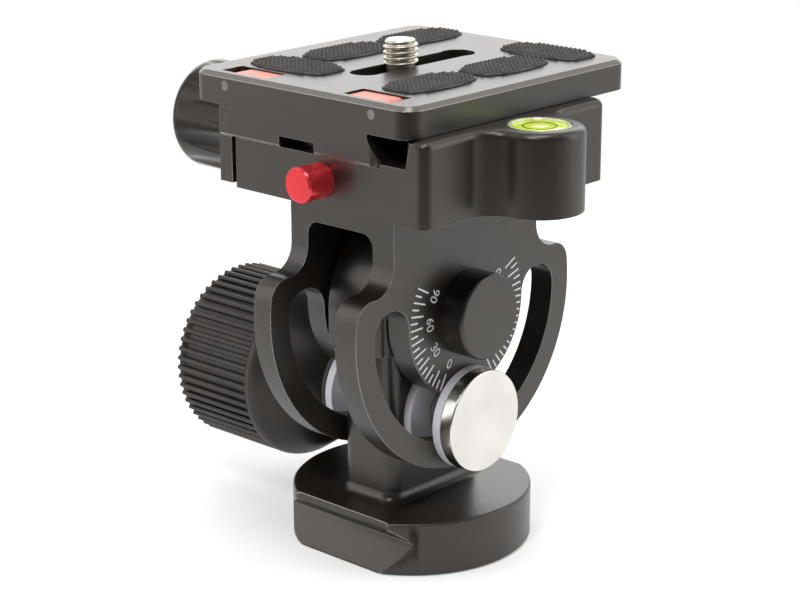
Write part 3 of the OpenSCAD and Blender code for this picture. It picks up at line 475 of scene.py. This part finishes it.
def bump_tree():
    """Straight rows of small blunt pyramids inside a barrel outline."""
    tree, given = new_tree("pad_bumps", Length="Float", Width="Float", Side_radius="Float",
                           End_radius="Float", Across="Float", Along="Float", Height="Float", Turn="Float",
                           Place="Vector", Material="Material")
    counts, spans = [], []
    for extent, pitch, more in (("Width", "Across", 1.0), ("Length", "Along", 2.0)):
        share = add(tree, MATH, (given[extent], given[pitch]), operation="DIVIDE").outputs[0]
        gaps = add(tree, MATH, (share,), operation="FLOOR").outputs[0]
        count = add(tree, MATH, (gaps, more), operation="ADD").outputs[0]
        between = add(tree, MATH, (count, 1.0), operation="SUBTRACT").outputs[0]
        counts.append(count)
        spans.append(add(tree, MATH, (between, given[pitch]), operation="MULTIPLY").outputs[0])
    grid = add(tree, "GeometryNodeMeshGrid", (*spans, *counts))
    at = add(tree, "ShaderNodeSeparateXYZ", {"Vector": add(tree, "GeometryNodeInputPosition").outputs[0]})
    x, y = (add(tree, MATH, (at.outputs[way],), operation="ABSOLUTE").outputs[0] for way in ("X", "Y"))
    outside = []
    for near, far, radius, extent in ((x, y, "Side radius", "Width"), (y, x, "End radius", "Length")):
        half = add(tree, MATH, (given[extent], 0.5), operation="MULTIPLY").outputs[0]
        centre = add(tree, MATH, (given[radius], half), operation="SUBTRACT").outputs[0]
        out = add(tree, MATH, (near, centre), operation="ADD").outputs[0]
        spot = add(tree, "ShaderNodeCombineXYZ", {"X": out, "Y": far}).outputs[0]
        reach = add(tree, "ShaderNodeVectorMath", (spot,), operation="LENGTH").outputs["Value"]
        outside.append(add(tree, MATH, (reach, given[radius]), operation="SUBTRACT").outputs[0])
    beyond = add(tree, MATH, outside, operation="MAXIMUM").outputs[0]
    strip = add(tree, MATH, (given["Along"], -BUMP_STRIP), operation="MULTIPLY").outputs[0]
    drop = add(tree, "FunctionNodeCompare", {"A": beyond, "B": strip}, data_type="FLOAT",
               operation="GREATER_THAN")
    kept = add(tree, "GeometryNodeDeleteGeometry", {
        "Geometry": grid.outputs[0], "Selection": drop.outputs[0]}, domain="POINT")
    foot = add(tree, MATH, (given["Across"], BUMP_FOOT), operation="MULTIPLY").outputs[0]
    top = add(tree, MATH, (foot, BUMP_TOP), operation="MULTIPLY").outputs[0]
    pyramid = add(tree, "GeometryNodeMeshCone", {
        "Vertices": 4, "Radius Top": top, "Radius Bottom": foot, "Depth": given["Height"]}, fill_type="NGON")
    square = add(tree, "GeometryNodeTransform", {
        "Geometry": pyramid.outputs["Mesh"], "Rotation": (0, 0, math.pi / 4)})
    bumps = add(tree, "GeometryNodeInstanceOnPoints", {
        "Points": kept.outputs[0], "Instance": square.outputs[0]})
    turn = add(tree, "ShaderNodeCombineXYZ", {"Z": given["Turn"]}).outputs[0]
    placed = add(tree, "GeometryNodeTransform", {
        "Geometry": bumps.outputs[0], "Rotation": turn, "Translation": given["Place"]})
    both = add(tree, "GeometryNodeJoinGeometry", {"Geometry": [placed.outputs[0], given["Geometry"]]})
    return end_tree(tree, both.outputs[0], given["Material"])


def tick_tree():
    """Ticks on a face that looks along X: bars on two mirrored arcs, every other one long."""
    tree, given = new_tree("scale_ticks", Count="Int", First="Float", Step="Float", Outer="Float",
                           Long="Float", Short="Float", Width="Float", Height="Float", Place="Vector",
                           Material="Material")
    arms = []
    for side in (-1.0, 1.0):
        row = add(tree, "GeometryNodeMeshLine", {"Count": given["Count"]}, mode="OFFSET")
        index = add(tree, "GeometryNodeInputIndex").outputs[0]
        swing = add(tree, MATH, (index, given["Step"], given["First"]), operation="MULTIPLY_ADD").outputs[0]
        angle = add(tree, MATH, (swing, side), operation="MULTIPLY").outputs[0]
        odd = add(tree, MATH, (index, 2.0), operation="MODULO").outputs[0]
        change = add(tree, MATH, (given["Short"], given["Long"]), operation="SUBTRACT").outputs[0]
        extent = add(tree, MATH, (odd, change, given["Long"]), operation="MULTIPLY_ADD").outputs[0]
        half = add(tree, MATH, (extent, 0.5), operation="MULTIPLY").outputs[0]
        drop = add(tree, MATH, (half, given["Outer"]), operation="SUBTRACT").outputs[0]
        below = add(tree, "ShaderNodeCombineXYZ", {"Z": drop}).outputs[0]
        spot = add(tree, "ShaderNodeVectorRotate", {"Vector": below, "Angle": angle}, rotation_type="X_AXIS")
        arc = add(tree, "GeometryNodeSetPosition", {"Geometry": row.outputs[0], "Position": spot.outputs[0]})
        bar = add(tree, "GeometryNodeMeshCube", {"Size": (1, 1, 1)})
        bulk = add(tree, "ShaderNodeCombineXYZ", {"X": given["Height"], "Y": given["Width"], "Z": extent})
        lean = add(tree, "ShaderNodeCombineXYZ", {"X": angle})
        bars = add(tree, "GeometryNodeInstanceOnPoints", {
            "Points": arc.outputs[0], "Instance": bar.outputs[0], "Rotation": lean.outputs[0],
            "Scale": bulk.outputs[0]})
        arms.append(bars.outputs[0])
    both = add(tree, "GeometryNodeJoinGeometry", {"Geometry": arms})
    placed = add(tree, "GeometryNodeTransform", {"Geometry": both.outputs[0], "Translation": given["Place"]})
    return end_tree(tree, placed.outputs[0], given["Material"])


# Operators


class HeadOperator(bpy.types.Operator):
    """A step of the tilt head's build."""

    bl_options = {"REGISTER"}

    def execute(self, context):
        """Builds this step's pieces."""
        self.build(context.scene.tilt_head_sizes)
        return {"FINISHED"}


class TILTHEAD_OT_base(HeadOperator):
    """Base with its stem, and the bushes inside it."""

    bl_idname = "tilthead.base"
    bl_label = "Base and stem"

    def build(self, size):
        """The base gets broken edges; its bushes stay as they are."""
        edged("stem_on_round_base", "base", "black_metal", size.metal_edge, "base_stem", limit=50)
        paint("steel", "thread_bush")
        paint("brass", "pivot_bush_left", "pivot_bush_right")


class TILTHEAD_OT_bolt(HeadOperator):
    """Clamp bolt and its washers."""

    bl_idname = "tilthead.bolt"
    bl_label = "Clamp bolt and washers"

    def build(self, size):
        """Turned parts with broken rims."""
        edged("flat_headed_bolt", "base", "steel", size.metal_edge, "clamp_bolt", segments=3)
        edged("stem_washers", "base", "nylon", size.fine_edge, "bolt_washer", "fork_washer_left",
              "fork_washer_right")
        edged("washer_at_knob", "knob_washer", "nylon", size.fine_edge, "knob_washer")


class TILTHEAD_OT_tilt_knob(HeadOperator):
    """Ribbed tilt knob."""

    bl_idname = "tilthead.tilt_knob"
    bl_label = "Tilt knob"

    def build(self, size):
        """A turned core with moulded ribs round it, which run out into a plain round rim."""
        low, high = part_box("tilt_knob")
        outer = (high.z - low.z) / 2
        span = high.x - low.x
        core = outer - size.rib_depth
        dish, dish_depth, dish_rim = 11.4 * MM, 0.9 * MM, 12.2 * MM
        ribs_start, ribs_end = 0.8 * MM, 19.9 * MM
        far_round, rim_round = 1.9 * MM, 4.0 * MM
        hub, broken = 9.6 * MM, 0.15 * MM
        lip = outer - 0.3 * size.rib_depth
        # Dished far end and its round lip
        profile = [(0, dish_depth), (dish, dish_depth), (dish_rim, 0.0)]
        for turn in (math.radians(15 * i) for i in range(6)):
            profile.append((lip - far_round * (1 - math.sin(turn)), far_round * (1 - math.cos(turn))))
        # Bottom of the grooves, and their rise to the rim
        profile += [(core, far_round + 0.6 * MM), (core, ribs_end - 1.5 * MM),
                    (core + 0.2 * size.rib_depth, ribs_end - 0.9 * MM),
                    (outer - 0.15 * size.rib_depth, ribs_end - 0.1 * MM)]
        # Round rim, which ends where it meets the cone to the hub without a crease
        for turn in (math.radians(7 * i) for i in range(6)):
            profile.append((outer - rim_round * (1 - math.cos(turn)),
                            ribs_end + 0.3 * MM + rim_round * math.sin(turn)))
        profile += [(hub + 0.2 * MM, span - 1.1 * MM), (hub, span - 0.9 * MM), (hub, span - broken),
                    (hub - broken, span), (0, span)]
        place = Vector((low.x, 0, (low.z + high.z) / 2))
        bm = moved(lathe(profile, 128), Matrix.Translation(place) @ Matrix.Rotation(math.pi / 2, 4, "Y"))
        mesh = grown(shaded(bm, "knob_core", 24), rib_tree(), Count=size.knob_ribs,
                     Circle=outer - size.rib_radius, Rib=size.rib_radius, Low=ribs_start, High=ribs_end,
                     Place=place, Material=finish("knob_plastic"))
        settle(mesh, "ribbed_tilt_knob", "tilt_knob", "knob_plastic", "tilt_knob")
        paint("brass", "tilt_knob_insert")


class TILTHEAD_OT_yoke(HeadOperator):
    """Fork, its caps, axle and screws."""

    bl_idname = "tilthead.yoke"
    bl_label = "Yoke"

    def build(self, size):
        """The fork and the caps get broken edges."""
        edged("slotted_yoke", "yoke", "black_metal", size.metal_edge, "yoke")
        edged("pivot_caps", "yoke", "black_metal", size.fine_edge, "pivot_cap_left", "pivot_cap_right",
              limit=50)
        paint("steel", "pivot_axle", "yoke_screws", "jaw_springs", "button_spring")


class TILTHEAD_OT_clamp(HeadOperator):
    """Clamp body and moving jaw."""

    bl_idname = "tilthead.clamp"
    bl_label = "Clamp"

    def build(self, size):
        """The clamp's upper rim is rounded well off, and its other edges are broken."""
        low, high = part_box("clamp_body")
        plate_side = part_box("camera_plate")[1].x
        cup = middle("level_cup")
        cup_seat, past_plate = 6.5 * MM, 0.4 * MM
        post_reach, post_width, post_least = 6 * MM, 2.5 * MM, 2 * MM
        bm = merged("clamp_body")

        def on_rim(edge):
            """Whether an edge lies on the clamp's top, along the outline."""
            ends = [v.co for v in edge.verts]
            level = min(v.z for v in ends) > high.z - TOUCH
            outward = any(abs(f.normal.z) < 0.1 and f.normal.x > -0.5 for f in edge.link_faces)
            clear = min((v.xy - cup.xy).length for v in ends) > cup_seat
            return level and outward and clear and max(v.x for v in ends) > plate_side + past_plate

        def beside_notch(edge):
            """Whether an edge is the upright one beside the notch for the plate's round foot."""
            a, b = (v.co for v in edge.verts)
            in_front = max(a.y, b.y) < low.y + TOUCH
            upright = (a.xy - b.xy).length < TOUCH and abs(a.z - b.z) > post_least
            near_top = a.z + b.z > 2 * (high.z - post_reach)
            return in_front and upright and near_top and 0 < plate_side - a.x < post_width

        rim = [edge for edge in bm.edges if on_rim(edge)]
        bevelled(bm, rim, "the clamp's rim", size.clamp_edge, segments=5, profile=0.5)
        post = [edge for edge in bm.edges if beside_notch(edge)]
        bevelled(bm, post, "the clamp's post", size.post_edge, segments=4, profile=0.5)
        bmesh.ops.remove_doubles(bm, verts=bm.verts[:], dist=TOUCH)
        mesh = soft_edged(bm, "clamp_with_lobe", size.fine_edge)
        settle(mesh, "clamp_with_lobe", "yoke", "black_metal", "clamp_body")
        edged("sliding_jaw", "jaw", "black_metal", size.metal_edge, "moving_jaw", wear=RUBBED)
        paint("steel", "jaw_guides", "safety_pin")


class TILTHEAD_OT_jaw_knob(HeadOperator):
    """Fluted jaw knob and its screw."""

    bl_idname = "tilthead.jaw_knob"
    bl_label = "Jaw knob"

    def build(self, size):
        """A turned grip, whose flutes run out to a point before its round far end."""
        low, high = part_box("jaw_knob")
        outer = (high.z - low.z) / 2
        span = high.x - low.x
        hub, hub_length = 7.0 * MM, 7.65 * MM
        grip = span - hub_length
        edge, tip, soft = 2.0 * MM, 1.4 * MM, 0.12 * MM
        first = math.radians(7)
        step = 2 * math.pi / size.knob_flutes
        rows = 30

        def fluted(height):
            """The grip's radius round the axis at a height above its far end."""
            above = max(0.0, edge - height)
            body = outer - edge + math.sqrt(edge * edge - above * above)
            share = min(1.0, max(0.0, (grip - height) / (grip - tip)))
            centre = outer + size.flute_radius - size.flute_depth * (1 - share * share)

            def radius(angle):
                """The smaller of the body and the nearest flute, with their crest rounded."""
                off = (angle - math.pi - first + step / 2) % step - step / 2
                inside = size.flute_radius**2 - (centre * math.sin(off)) ** 2
                flute = centre * math.cos(off) - math.sqrt(inside) if inside > 0 else 2 * outer
                blend = max(0.0, soft - abs(body - flute))
                return min(body, flute) - blend * blend / (4 * soft)

            return radius

        heights = [edge * (1 - math.cos(math.radians(15 * i))) for i in range(7)]
        heights += [edge + (grip - edge) * i / rows for i in range(1, rows + 1)]
        profile = [(0, 0.0)] + [(fluted(h), h) for h in heights]
        profile += [(hub, grip), (hub, span), (0, span)]
        place = Vector((low.x, (low.y + high.y) / 2, (low.z + high.z) / 2))
        bm = moved(lathe(profile, 24 * size.knob_flutes),
                   Matrix.Translation(place) @ Matrix.Rotation(math.pi / 2, 4, "Y"))
        settle(shaded(bm, "fluted_jaw_knob", 40), "scalloped_jaw_knob", "jaw_knob", "black_metal", "jaw_knob",
               material=finish("glossy_black"))
        paint("steel", "jaw_screw")


class TILTHEAD_OT_button(HeadOperator):
    """Red release button."""

    bl_idname = "tilthead.button"
    bl_label = "Release button"

    def build(self, size):
        """A turned button with a broken rim."""
        edged("red_release_button", "release_button", "red_metal", size.fine_edge, "release_button")


class TILTHEAD_OT_plate(HeadOperator):
    """Camera plate, its stops and their pins."""

    bl_idname = "tilthead.plate"
    bl_label = "Camera plate and stops"

    def build(self, size):
        """The plate and the stops get fine broken edges; the plate's foot has a broader one along its front.

        The bevel round the deck is handled less than the edges, so it shows a little bare metal.
        """
        low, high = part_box("camera_plate")
        deck_bevel, bevel_wear = 2 * MM, 0.35
        bm = merged("camera_plate")

        def at_foot(vert):
            """Whether a corner lies on the lower front edge of the plate's foot."""
            return vert.co.z < low.z + TOUCH and vert.co.y < low.y + TOUCH

        foot = [edge for edge in bm.edges if all(at_foot(v) for v in edge.verts)]
        for face in bevelled(bm, foot, "the front of the plate's foot", size.foot_edge, segments=1):
            face.material_index = 1
        mesh = soft_edged(bm, "dovetailed_camera_plate", size.plate_edge, wear=RUBBED)
        wear = mesh.attributes["edge"].data
        for face in mesh.polygons:
            on_bevel = 0.5 < face.normal.z < 0.9 and face.center.z > high.z - deck_bevel
            if on_bevel and wear[face.index].value == 0:
                wear[face.index].value = bevel_wear
        settle(mesh, "dovetailed_camera_plate", "plate", "black_metal", "camera_plate")
        for node in ("stop_left", "stop_right"):
            edged(f"{node}_flap", node, "red_plastic", size.fine_edge, node)
        paint("wire", "stop_pin_left", "stop_pin_right")
        paint("steel", "screw_slider")


class TILTHEAD_OT_pads(HeadOperator):
    """Rubber pads of the plate."""

    bl_idname = "tilthead.pads"
    bl_label = "Rubber pads"

    def build(self, size):
        """Each pad is a thin sheet, a little smaller than its solid, with rows of bumps."""
        tree = bump_tree()
        shrink, sheet, sunk = 0.97, 0.42, 0.01
        for node in sorted(n for n in NODES if n.startswith("pad_")):
            low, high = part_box(node)
            mid = (low + high) / 2
            span = high - low
            thick = span.z
            bm = merged(node)
            for vert in bm.verts:
                rise = vert.co.z - low.z
                vert.co = (mid.x + shrink * (vert.co.x - mid.x), mid.y + shrink * (vert.co.y - mid.y),
                           low.z + sheet * rise)
            mesh = grown(shaded(bm, "pad_sheet"), tree, Length=max(span.x, span.y), Width=min(span.x, span.y),
                         Side_radius=22 * MM, End_radius=12 * MM, Across=size.bump_across,
                         Along=size.bump_along, Height=(1 - sheet) * thick,
                         Turn=math.pi / 2 if span.x > span.y else 0.0,
                         Place=Vector((mid.x, mid.y, low.z + (sheet - sunk) * thick)),
                         Material=finish("pad_rubber"))
            settle(mesh, f"{node}_ribbed", "plate", "pad_rubber", node)


class TILTHEAD_OT_camera_screw(HeadOperator):
    """Camera screw with its thread."""

    bl_idname = "tilthead.camera_screw"
    bl_label = "Camera screw"

    def build(self, size):
        """The solid's plain thread is turned down to its root, and a helical ridge is wound on it."""
        low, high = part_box("camera_screw")
        axis = (low + high) / 2
        outer, threaded, core_from = 3.175 * MM, 4.5 * MM, 2.3 * MM
        top_run, low_run, end_dip = 0.9 * MM, 0.3 * MM, 0.3 * MM
        crest_width, steps, rows_a_turn = 1.35, 48, 8
        start = high.z - threaded
        core = outer - size.thread_depth - 0.05 * MM
        buried = outer - size.thread_depth - 0.1 * MM
        bm = merged("camera_screw")
        for vert in bm.verts:
            out = (vert.co - axis).xy
            if vert.co.z > start - 0.05 * MM and out.length > core_from:
                out = out * (min(out.length, core) / out.length)
                vert.co.x, vert.co.y = axis.x + out.x, axis.y + out.y

        def ridge(height):
            """The thread's radius round the axis at a height; it runs out at both ends."""
            turns = (height - start) / size.thread_pitch
            run_out = min(1.0, max(0.0, (high.z - height) / top_run), max(0.0, (height - start) / low_run))

            def radius(angle):
                """Inside the core between the turns, and a flat crest on them."""
                phase = turns - angle / (2 * math.pi)
                rise = 1 - abs(2 * (phase % 1.0) - 1)
                return buried + (outer - buried) * min(1.0, crest_width * rise) * run_out

            return radius

        rows = int(threaded / size.thread_pitch * rows_a_turn) + 1
        heights = [start + threaded * row / rows for row in range(rows + 1)]
        # Both ends dip into the core, so that they share no plane with the screw's own faces
        profile = [(0, start + end_dip)] + [(ridge(h), h) for h in heights] + [(0, high.z - end_dip)]
        wound = moved(lathe(profile, steps), Matrix.Translation((axis.x, axis.y, 0)))
        screw, thread = shaded(bm, "threaded_camera_screw", 40), shaded(wound, "thread", 180)
        both = bmesh.new()
        both.from_mesh(screw)
        both.from_mesh(thread)
        both.to_mesh(screw)
        both.free()
        bpy.data.meshes.remove(thread)
        settle(screw, "threaded_camera_screw", "camera_screw", "steel", "camera_screw",
               material=finish("nickel"))


class TILTHEAD_OT_level(HeadOperator):
    """Bubble level."""

    bl_idname = "tilthead.level"
    bl_label = "Bubble level"

    def build(self, size):
        """A clear rim, a disc of dyed spirit, a ring and a bubble."""
        low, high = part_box("level_cup")
        axis = (low + high) / 2
        r = (high.x - low.x) / 2 / MM - 0.01

        def part(name, slot, profile, *nodes):
            """One turned part of the level, from radii and heights in millimetres."""
            bm = lathe([(out * MM, height * MM) for out, height in profile], 72)
            mesh = shaded(moved(bm, Matrix.Translation((axis.x, axis.y, high.z))), name)
            settle(mesh, name, "yoke", "level_liquid", *nodes, material=finish(slot))

        part("level_rim", "acrylic", [(0, -7), (r, -7), (r, -0.25), (r - 0.25, 0), (r - 0.65, 0),
                                      (r - 0.85, -0.25), (r - 0.85, -0.6), (0, -0.6)], "level_cup")
        part("level_spirit", "level_liquid", [(0, -1.2), (r - 0.9, -1.2), (r - 0.9, -0.42), (r - 1.1, -0.36),
                                              (2.0, -0.3), (0, -0.28)], "level_vial")
        part("level_ring", "ring", [(0, -0.4), (3.05, -0.4), (3.05, -0.25), (2.8, -0.25), (2.75, -0.33),
                                    (0, -0.33)])
        part("level_bubble", "bubble", [(0, -0.5), (1.2, -0.45), (1.7, -0.33), (1.3, -0.2), (0.7, -0.13),
                                        (0, -0.1)])


class TILTHEAD_OT_scale(HeadOperator):
    """Printed scale of degrees on the right cheek."""

    bl_idname = "tilthead.scale"
    bl_label = "Scale of degrees"

    def build(self, size):
        """Ticks from a tree, and numbers from text."""
        hub = Vector((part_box("yoke")[1].x, 0, middle("pivot_cap_right").z))
        first, step, count = math.radians(28.5), math.radians(5), 19
        digit_share = 0.70
        ink = finish("print")
        ticks = grown(bpy.data.meshes.new("bare"), tick_tree(), Count=count, First=first, Step=step,
                      Outer=size.tick_outer, Long=size.tick_long, Short=size.tick_short,
                      Width=size.tick_width, Height=2 * size.print_height, Place=hub, Material=ink)
        bm = bmesh.new()
        bm.from_mesh(ticks)
        for side in (-1, 1):
            for number in (0, 30, 60, 90):
                angle = side * (first + math.radians(number))
                curve = bpy.data.curves.new("number", "FONT")
                curve.body = str(number)
                curve.size = size.number_height / digit_share
                curve.align_x, curve.align_y = "CENTER", "CENTER"
                curve.extrude = size.print_height
                curve.resolution_u = 4
                text = bpy.data.objects.new("number", curve)
                bpy.context.scene.collection.objects.link(text)
                digits = plain(text)
                right = Vector((0, math.cos(angle), math.sin(angle)))
                up = Vector((0, -math.sin(angle), math.cos(angle)))
                turn = Matrix((right, up, Vector((1, 0, 0)))).transposed().to_4x4()
                digits.transform(Matrix.Translation(hub - size.number_radius * up) @ turn)
                bm.from_mesh(digits)
        settle(shaded(bm, "degree_scale"), "degree_scale", "yoke", "black_metal", material=ink)


class TILTHEAD_OT_stage(HeadOperator):
    """Floor, lamps, white surround and camera."""

    bl_idname = "tilthead.stage"
    bl_label = "Stage"

    def build(self, size):
        """A pale floor under soft boxes, seen through the photograph's lens."""
        scene = bpy.context.scene
        scene.view_settings.view_transform = "Standard"
        self.camera(scene)
        self.floor(scene)
        self.room(scene)
        self.lamps(scene)

    def camera(self, scene):
        """The camera that was fitted to the photograph."""
        back = Vector((0.6418, -0.7072, 0.2966)).normalized()
        right = Vector((0.7405, 0.6720, 0.0)).normalized()
        stand = Vector((259.56, -289.39, 166.70)) * MM
        camera = bpy.data.objects.new("camera", bpy.data.cameras.new("camera"))
        camera.data.sensor_width = 36.0
        camera.data.lens = 98.17
        camera.data.clip_start, camera.data.clip_end = 0.01, 20.0
        turn = Matrix((right, back.cross(right), back)).transposed().to_4x4()
        camera.matrix_world = Matrix.Translation(stand) @ turn
        scene.collection.objects.link(camera)
        scene.camera = camera

    def floor(self, scene):
        """A round sheet of white paper."""
        radius, lift, white = 0.24, 0.30, 0.82
        disc = bmesh.new()
        bmesh.ops.create_circle(disc, cap_ends=True, segments=96, radius=radius)
        floor = bpy.data.meshes.new("floor")
        disc.to_mesh(floor)
        disc.free()
        ground = bpy.data.objects.new("floor", floor)
        scene.collection.objects.link(ground)
        paper = bpy.data.materials.new("white_paper_sweep")
        paper.use_nodes = True
        tree = paper.node_tree
        tree.nodes.clear()
        # White paper: matt, and lifted to full white where the camera sees it lit
        ray = add(tree, "ShaderNodeLightPath").outputs
        mirrored = add(tree, MATH, (ray["Is Glossy Ray"], ray["Is Transmission Ray"]), operation="MAXIMUM")
        seen = add(tree, MATH, (ray["Is Camera Ray"], mirrored.outputs[0]), operation="MAXIMUM")
        strength = add(tree, MATH, (seen.outputs[0], lift), operation="MULTIPLY").outputs[0]
        glow = add(tree, "ShaderNodeEmission", {"Color": (1, 1, 1, 1), "Strength": strength})
        matt = add(tree, "ShaderNodeBsdfDiffuse", {"Color": (white, white, white, 1)})
        lit = add(tree, "ShaderNodeAddShader", (glow.outputs[0], matt.outputs[0]))
        add(tree, "ShaderNodeOutputMaterial", {"Surface": lit.outputs[0]})
        floor.materials.append(paper)

    def room(self, scene):
        """A white room that is dimmer behind the camera, as a studio is."""
        towards_camera, bright, dim = (0.62, -0.72, 0.3), 0.9, 0.12
        world = bpy.data.worlds.new("white_room")
        world.use_nodes = True
        tree = world.node_tree
        tree.nodes.clear()
        path = add(tree, "ShaderNodeLightPath")
        way = add(tree, "ShaderNodeTexCoord").outputs["Generated"]
        facing = add(tree, "ShaderNodeVectorMath", (way, towards_camera), operation="DOT_PRODUCT")
        light = add(tree, "ShaderNodeMapRange", {
            "Value": facing.outputs["Value"], "From Min": 0.05, "From Max": 0.85, "To Min": bright,
            "To Max": dim}, interpolation_type="SMOOTHSTEP").outputs["Result"]
        level = add(tree, "ShaderNodeMix", {
            "Factor": path.outputs["Is Camera Ray"], "A": light, "B": 1.0}, data_type="FLOAT").outputs[0]
        shine = add(tree, "ShaderNodeBackground", {"Color": (1, 1, 1, 1), "Strength": level})
        add(tree, "ShaderNodeOutputWorld", {"Surface": shine.outputs[0]})
        scene.world = world

    def lamps(self, scene):
        """Soft boxes that look at the part: their azimuth, elevation, distance, width, height and power."""
        target = Vector((0, 0, 0.055))
        for name, azimuth, elevation, distance, wide, tall, watts in (
            ("back_box", 222, 24, 0.9, 1.2, 0.55, 3.4),
            ("left_box", 312, 20, 0.8, 0.35, 0.8, 1.2),
            ("right_box", 132, 20, 0.8, 0.35, 0.8, 1.2),
            ("top_box", 54, 72, 0.9, 0.3, 0.3, 2.2),
            ("key_box", 18, 50, 0.7, 0.14, 0.14, 1.3),
        ):
            a, e = math.radians(azimuth), math.radians(elevation)
            way = Vector((math.sin(a) * math.cos(e), -math.cos(a) * math.cos(e), math.sin(e)))
            lamp = bpy.data.lights.new(name, "AREA")
            lamp.shape = "RECTANGLE"
            lamp.size, lamp.size_y = wide, tall
            lamp.energy = watts
            light = bpy.data.objects.new(name, lamp)
            light.location = target + distance * way
            light.rotation_mode = "QUATERNION"
            light.rotation_quaternion = way.to_track_quat("Z", "Y")
            light.visible_camera = False
            scene.collection.objects.link(light)


STEPS = (
    TILTHEAD_OT_base, TILTHEAD_OT_bolt, TILTHEAD_OT_tilt_knob, TILTHEAD_OT_yoke, TILTHEAD_OT_clamp,
    TILTHEAD_OT_jaw_knob, TILTHEAD_OT_button, TILTHEAD_OT_plate, TILTHEAD_OT_pads, TILTHEAD_OT_camera_screw,
    TILTHEAD_OT_level, TILTHEAD_OT_scale, TILTHEAD_OT_stage,
)


class TILTHEAD_PT_panel(bpy.types.Panel):
    """Lists the build's steps, sizes and colours."""

    bl_label = "Tilt head"
    bl_idname = "TILTHEAD_PT_panel"
    bl_space_type = "VIEW_3D"
    bl_region_type = "UI"
    bl_category = "Tilt head"

    def draw(self, context):
        """One button a step, then the values."""
        for step in STEPS:
            self.layout.operator(step.bl_idname)
        for group in (context.scene.tilt_head_sizes, context.scene.tilt_head_colours):
            for name in group.__annotations__:
                self.layout.prop(group, name)


CLASSES = (TiltHeadSizes, TiltHeadColours, *STEPS, TILTHEAD_PT_panel)


def register():
    """Registers the classes and hangs the values on the scene."""
    for cls in CLASSES:
        bpy.utils.register_class(cls)
    bpy.types.Scene.tilt_head_sizes = PointerProperty(type=TiltHeadSizes)
    bpy.types.Scene.tilt_head_colours = PointerProperty(type=TiltHeadColours)


def unregister():
    """Takes both away again."""
    del bpy.types.Scene.tilt_head_colours
    del bpy.types.Scene.tilt_head_sizes
    for cls in reversed(CLASSES):
        bpy.utils.unregister_class(cls)


def main():
    """Runs every step in order."""
    register()
    for step in STEPS:
        group, name = step.bl_idname.split(".")
        getattr(getattr(bpy.ops, group), name)()


if __name__ == "__main__":
    main()
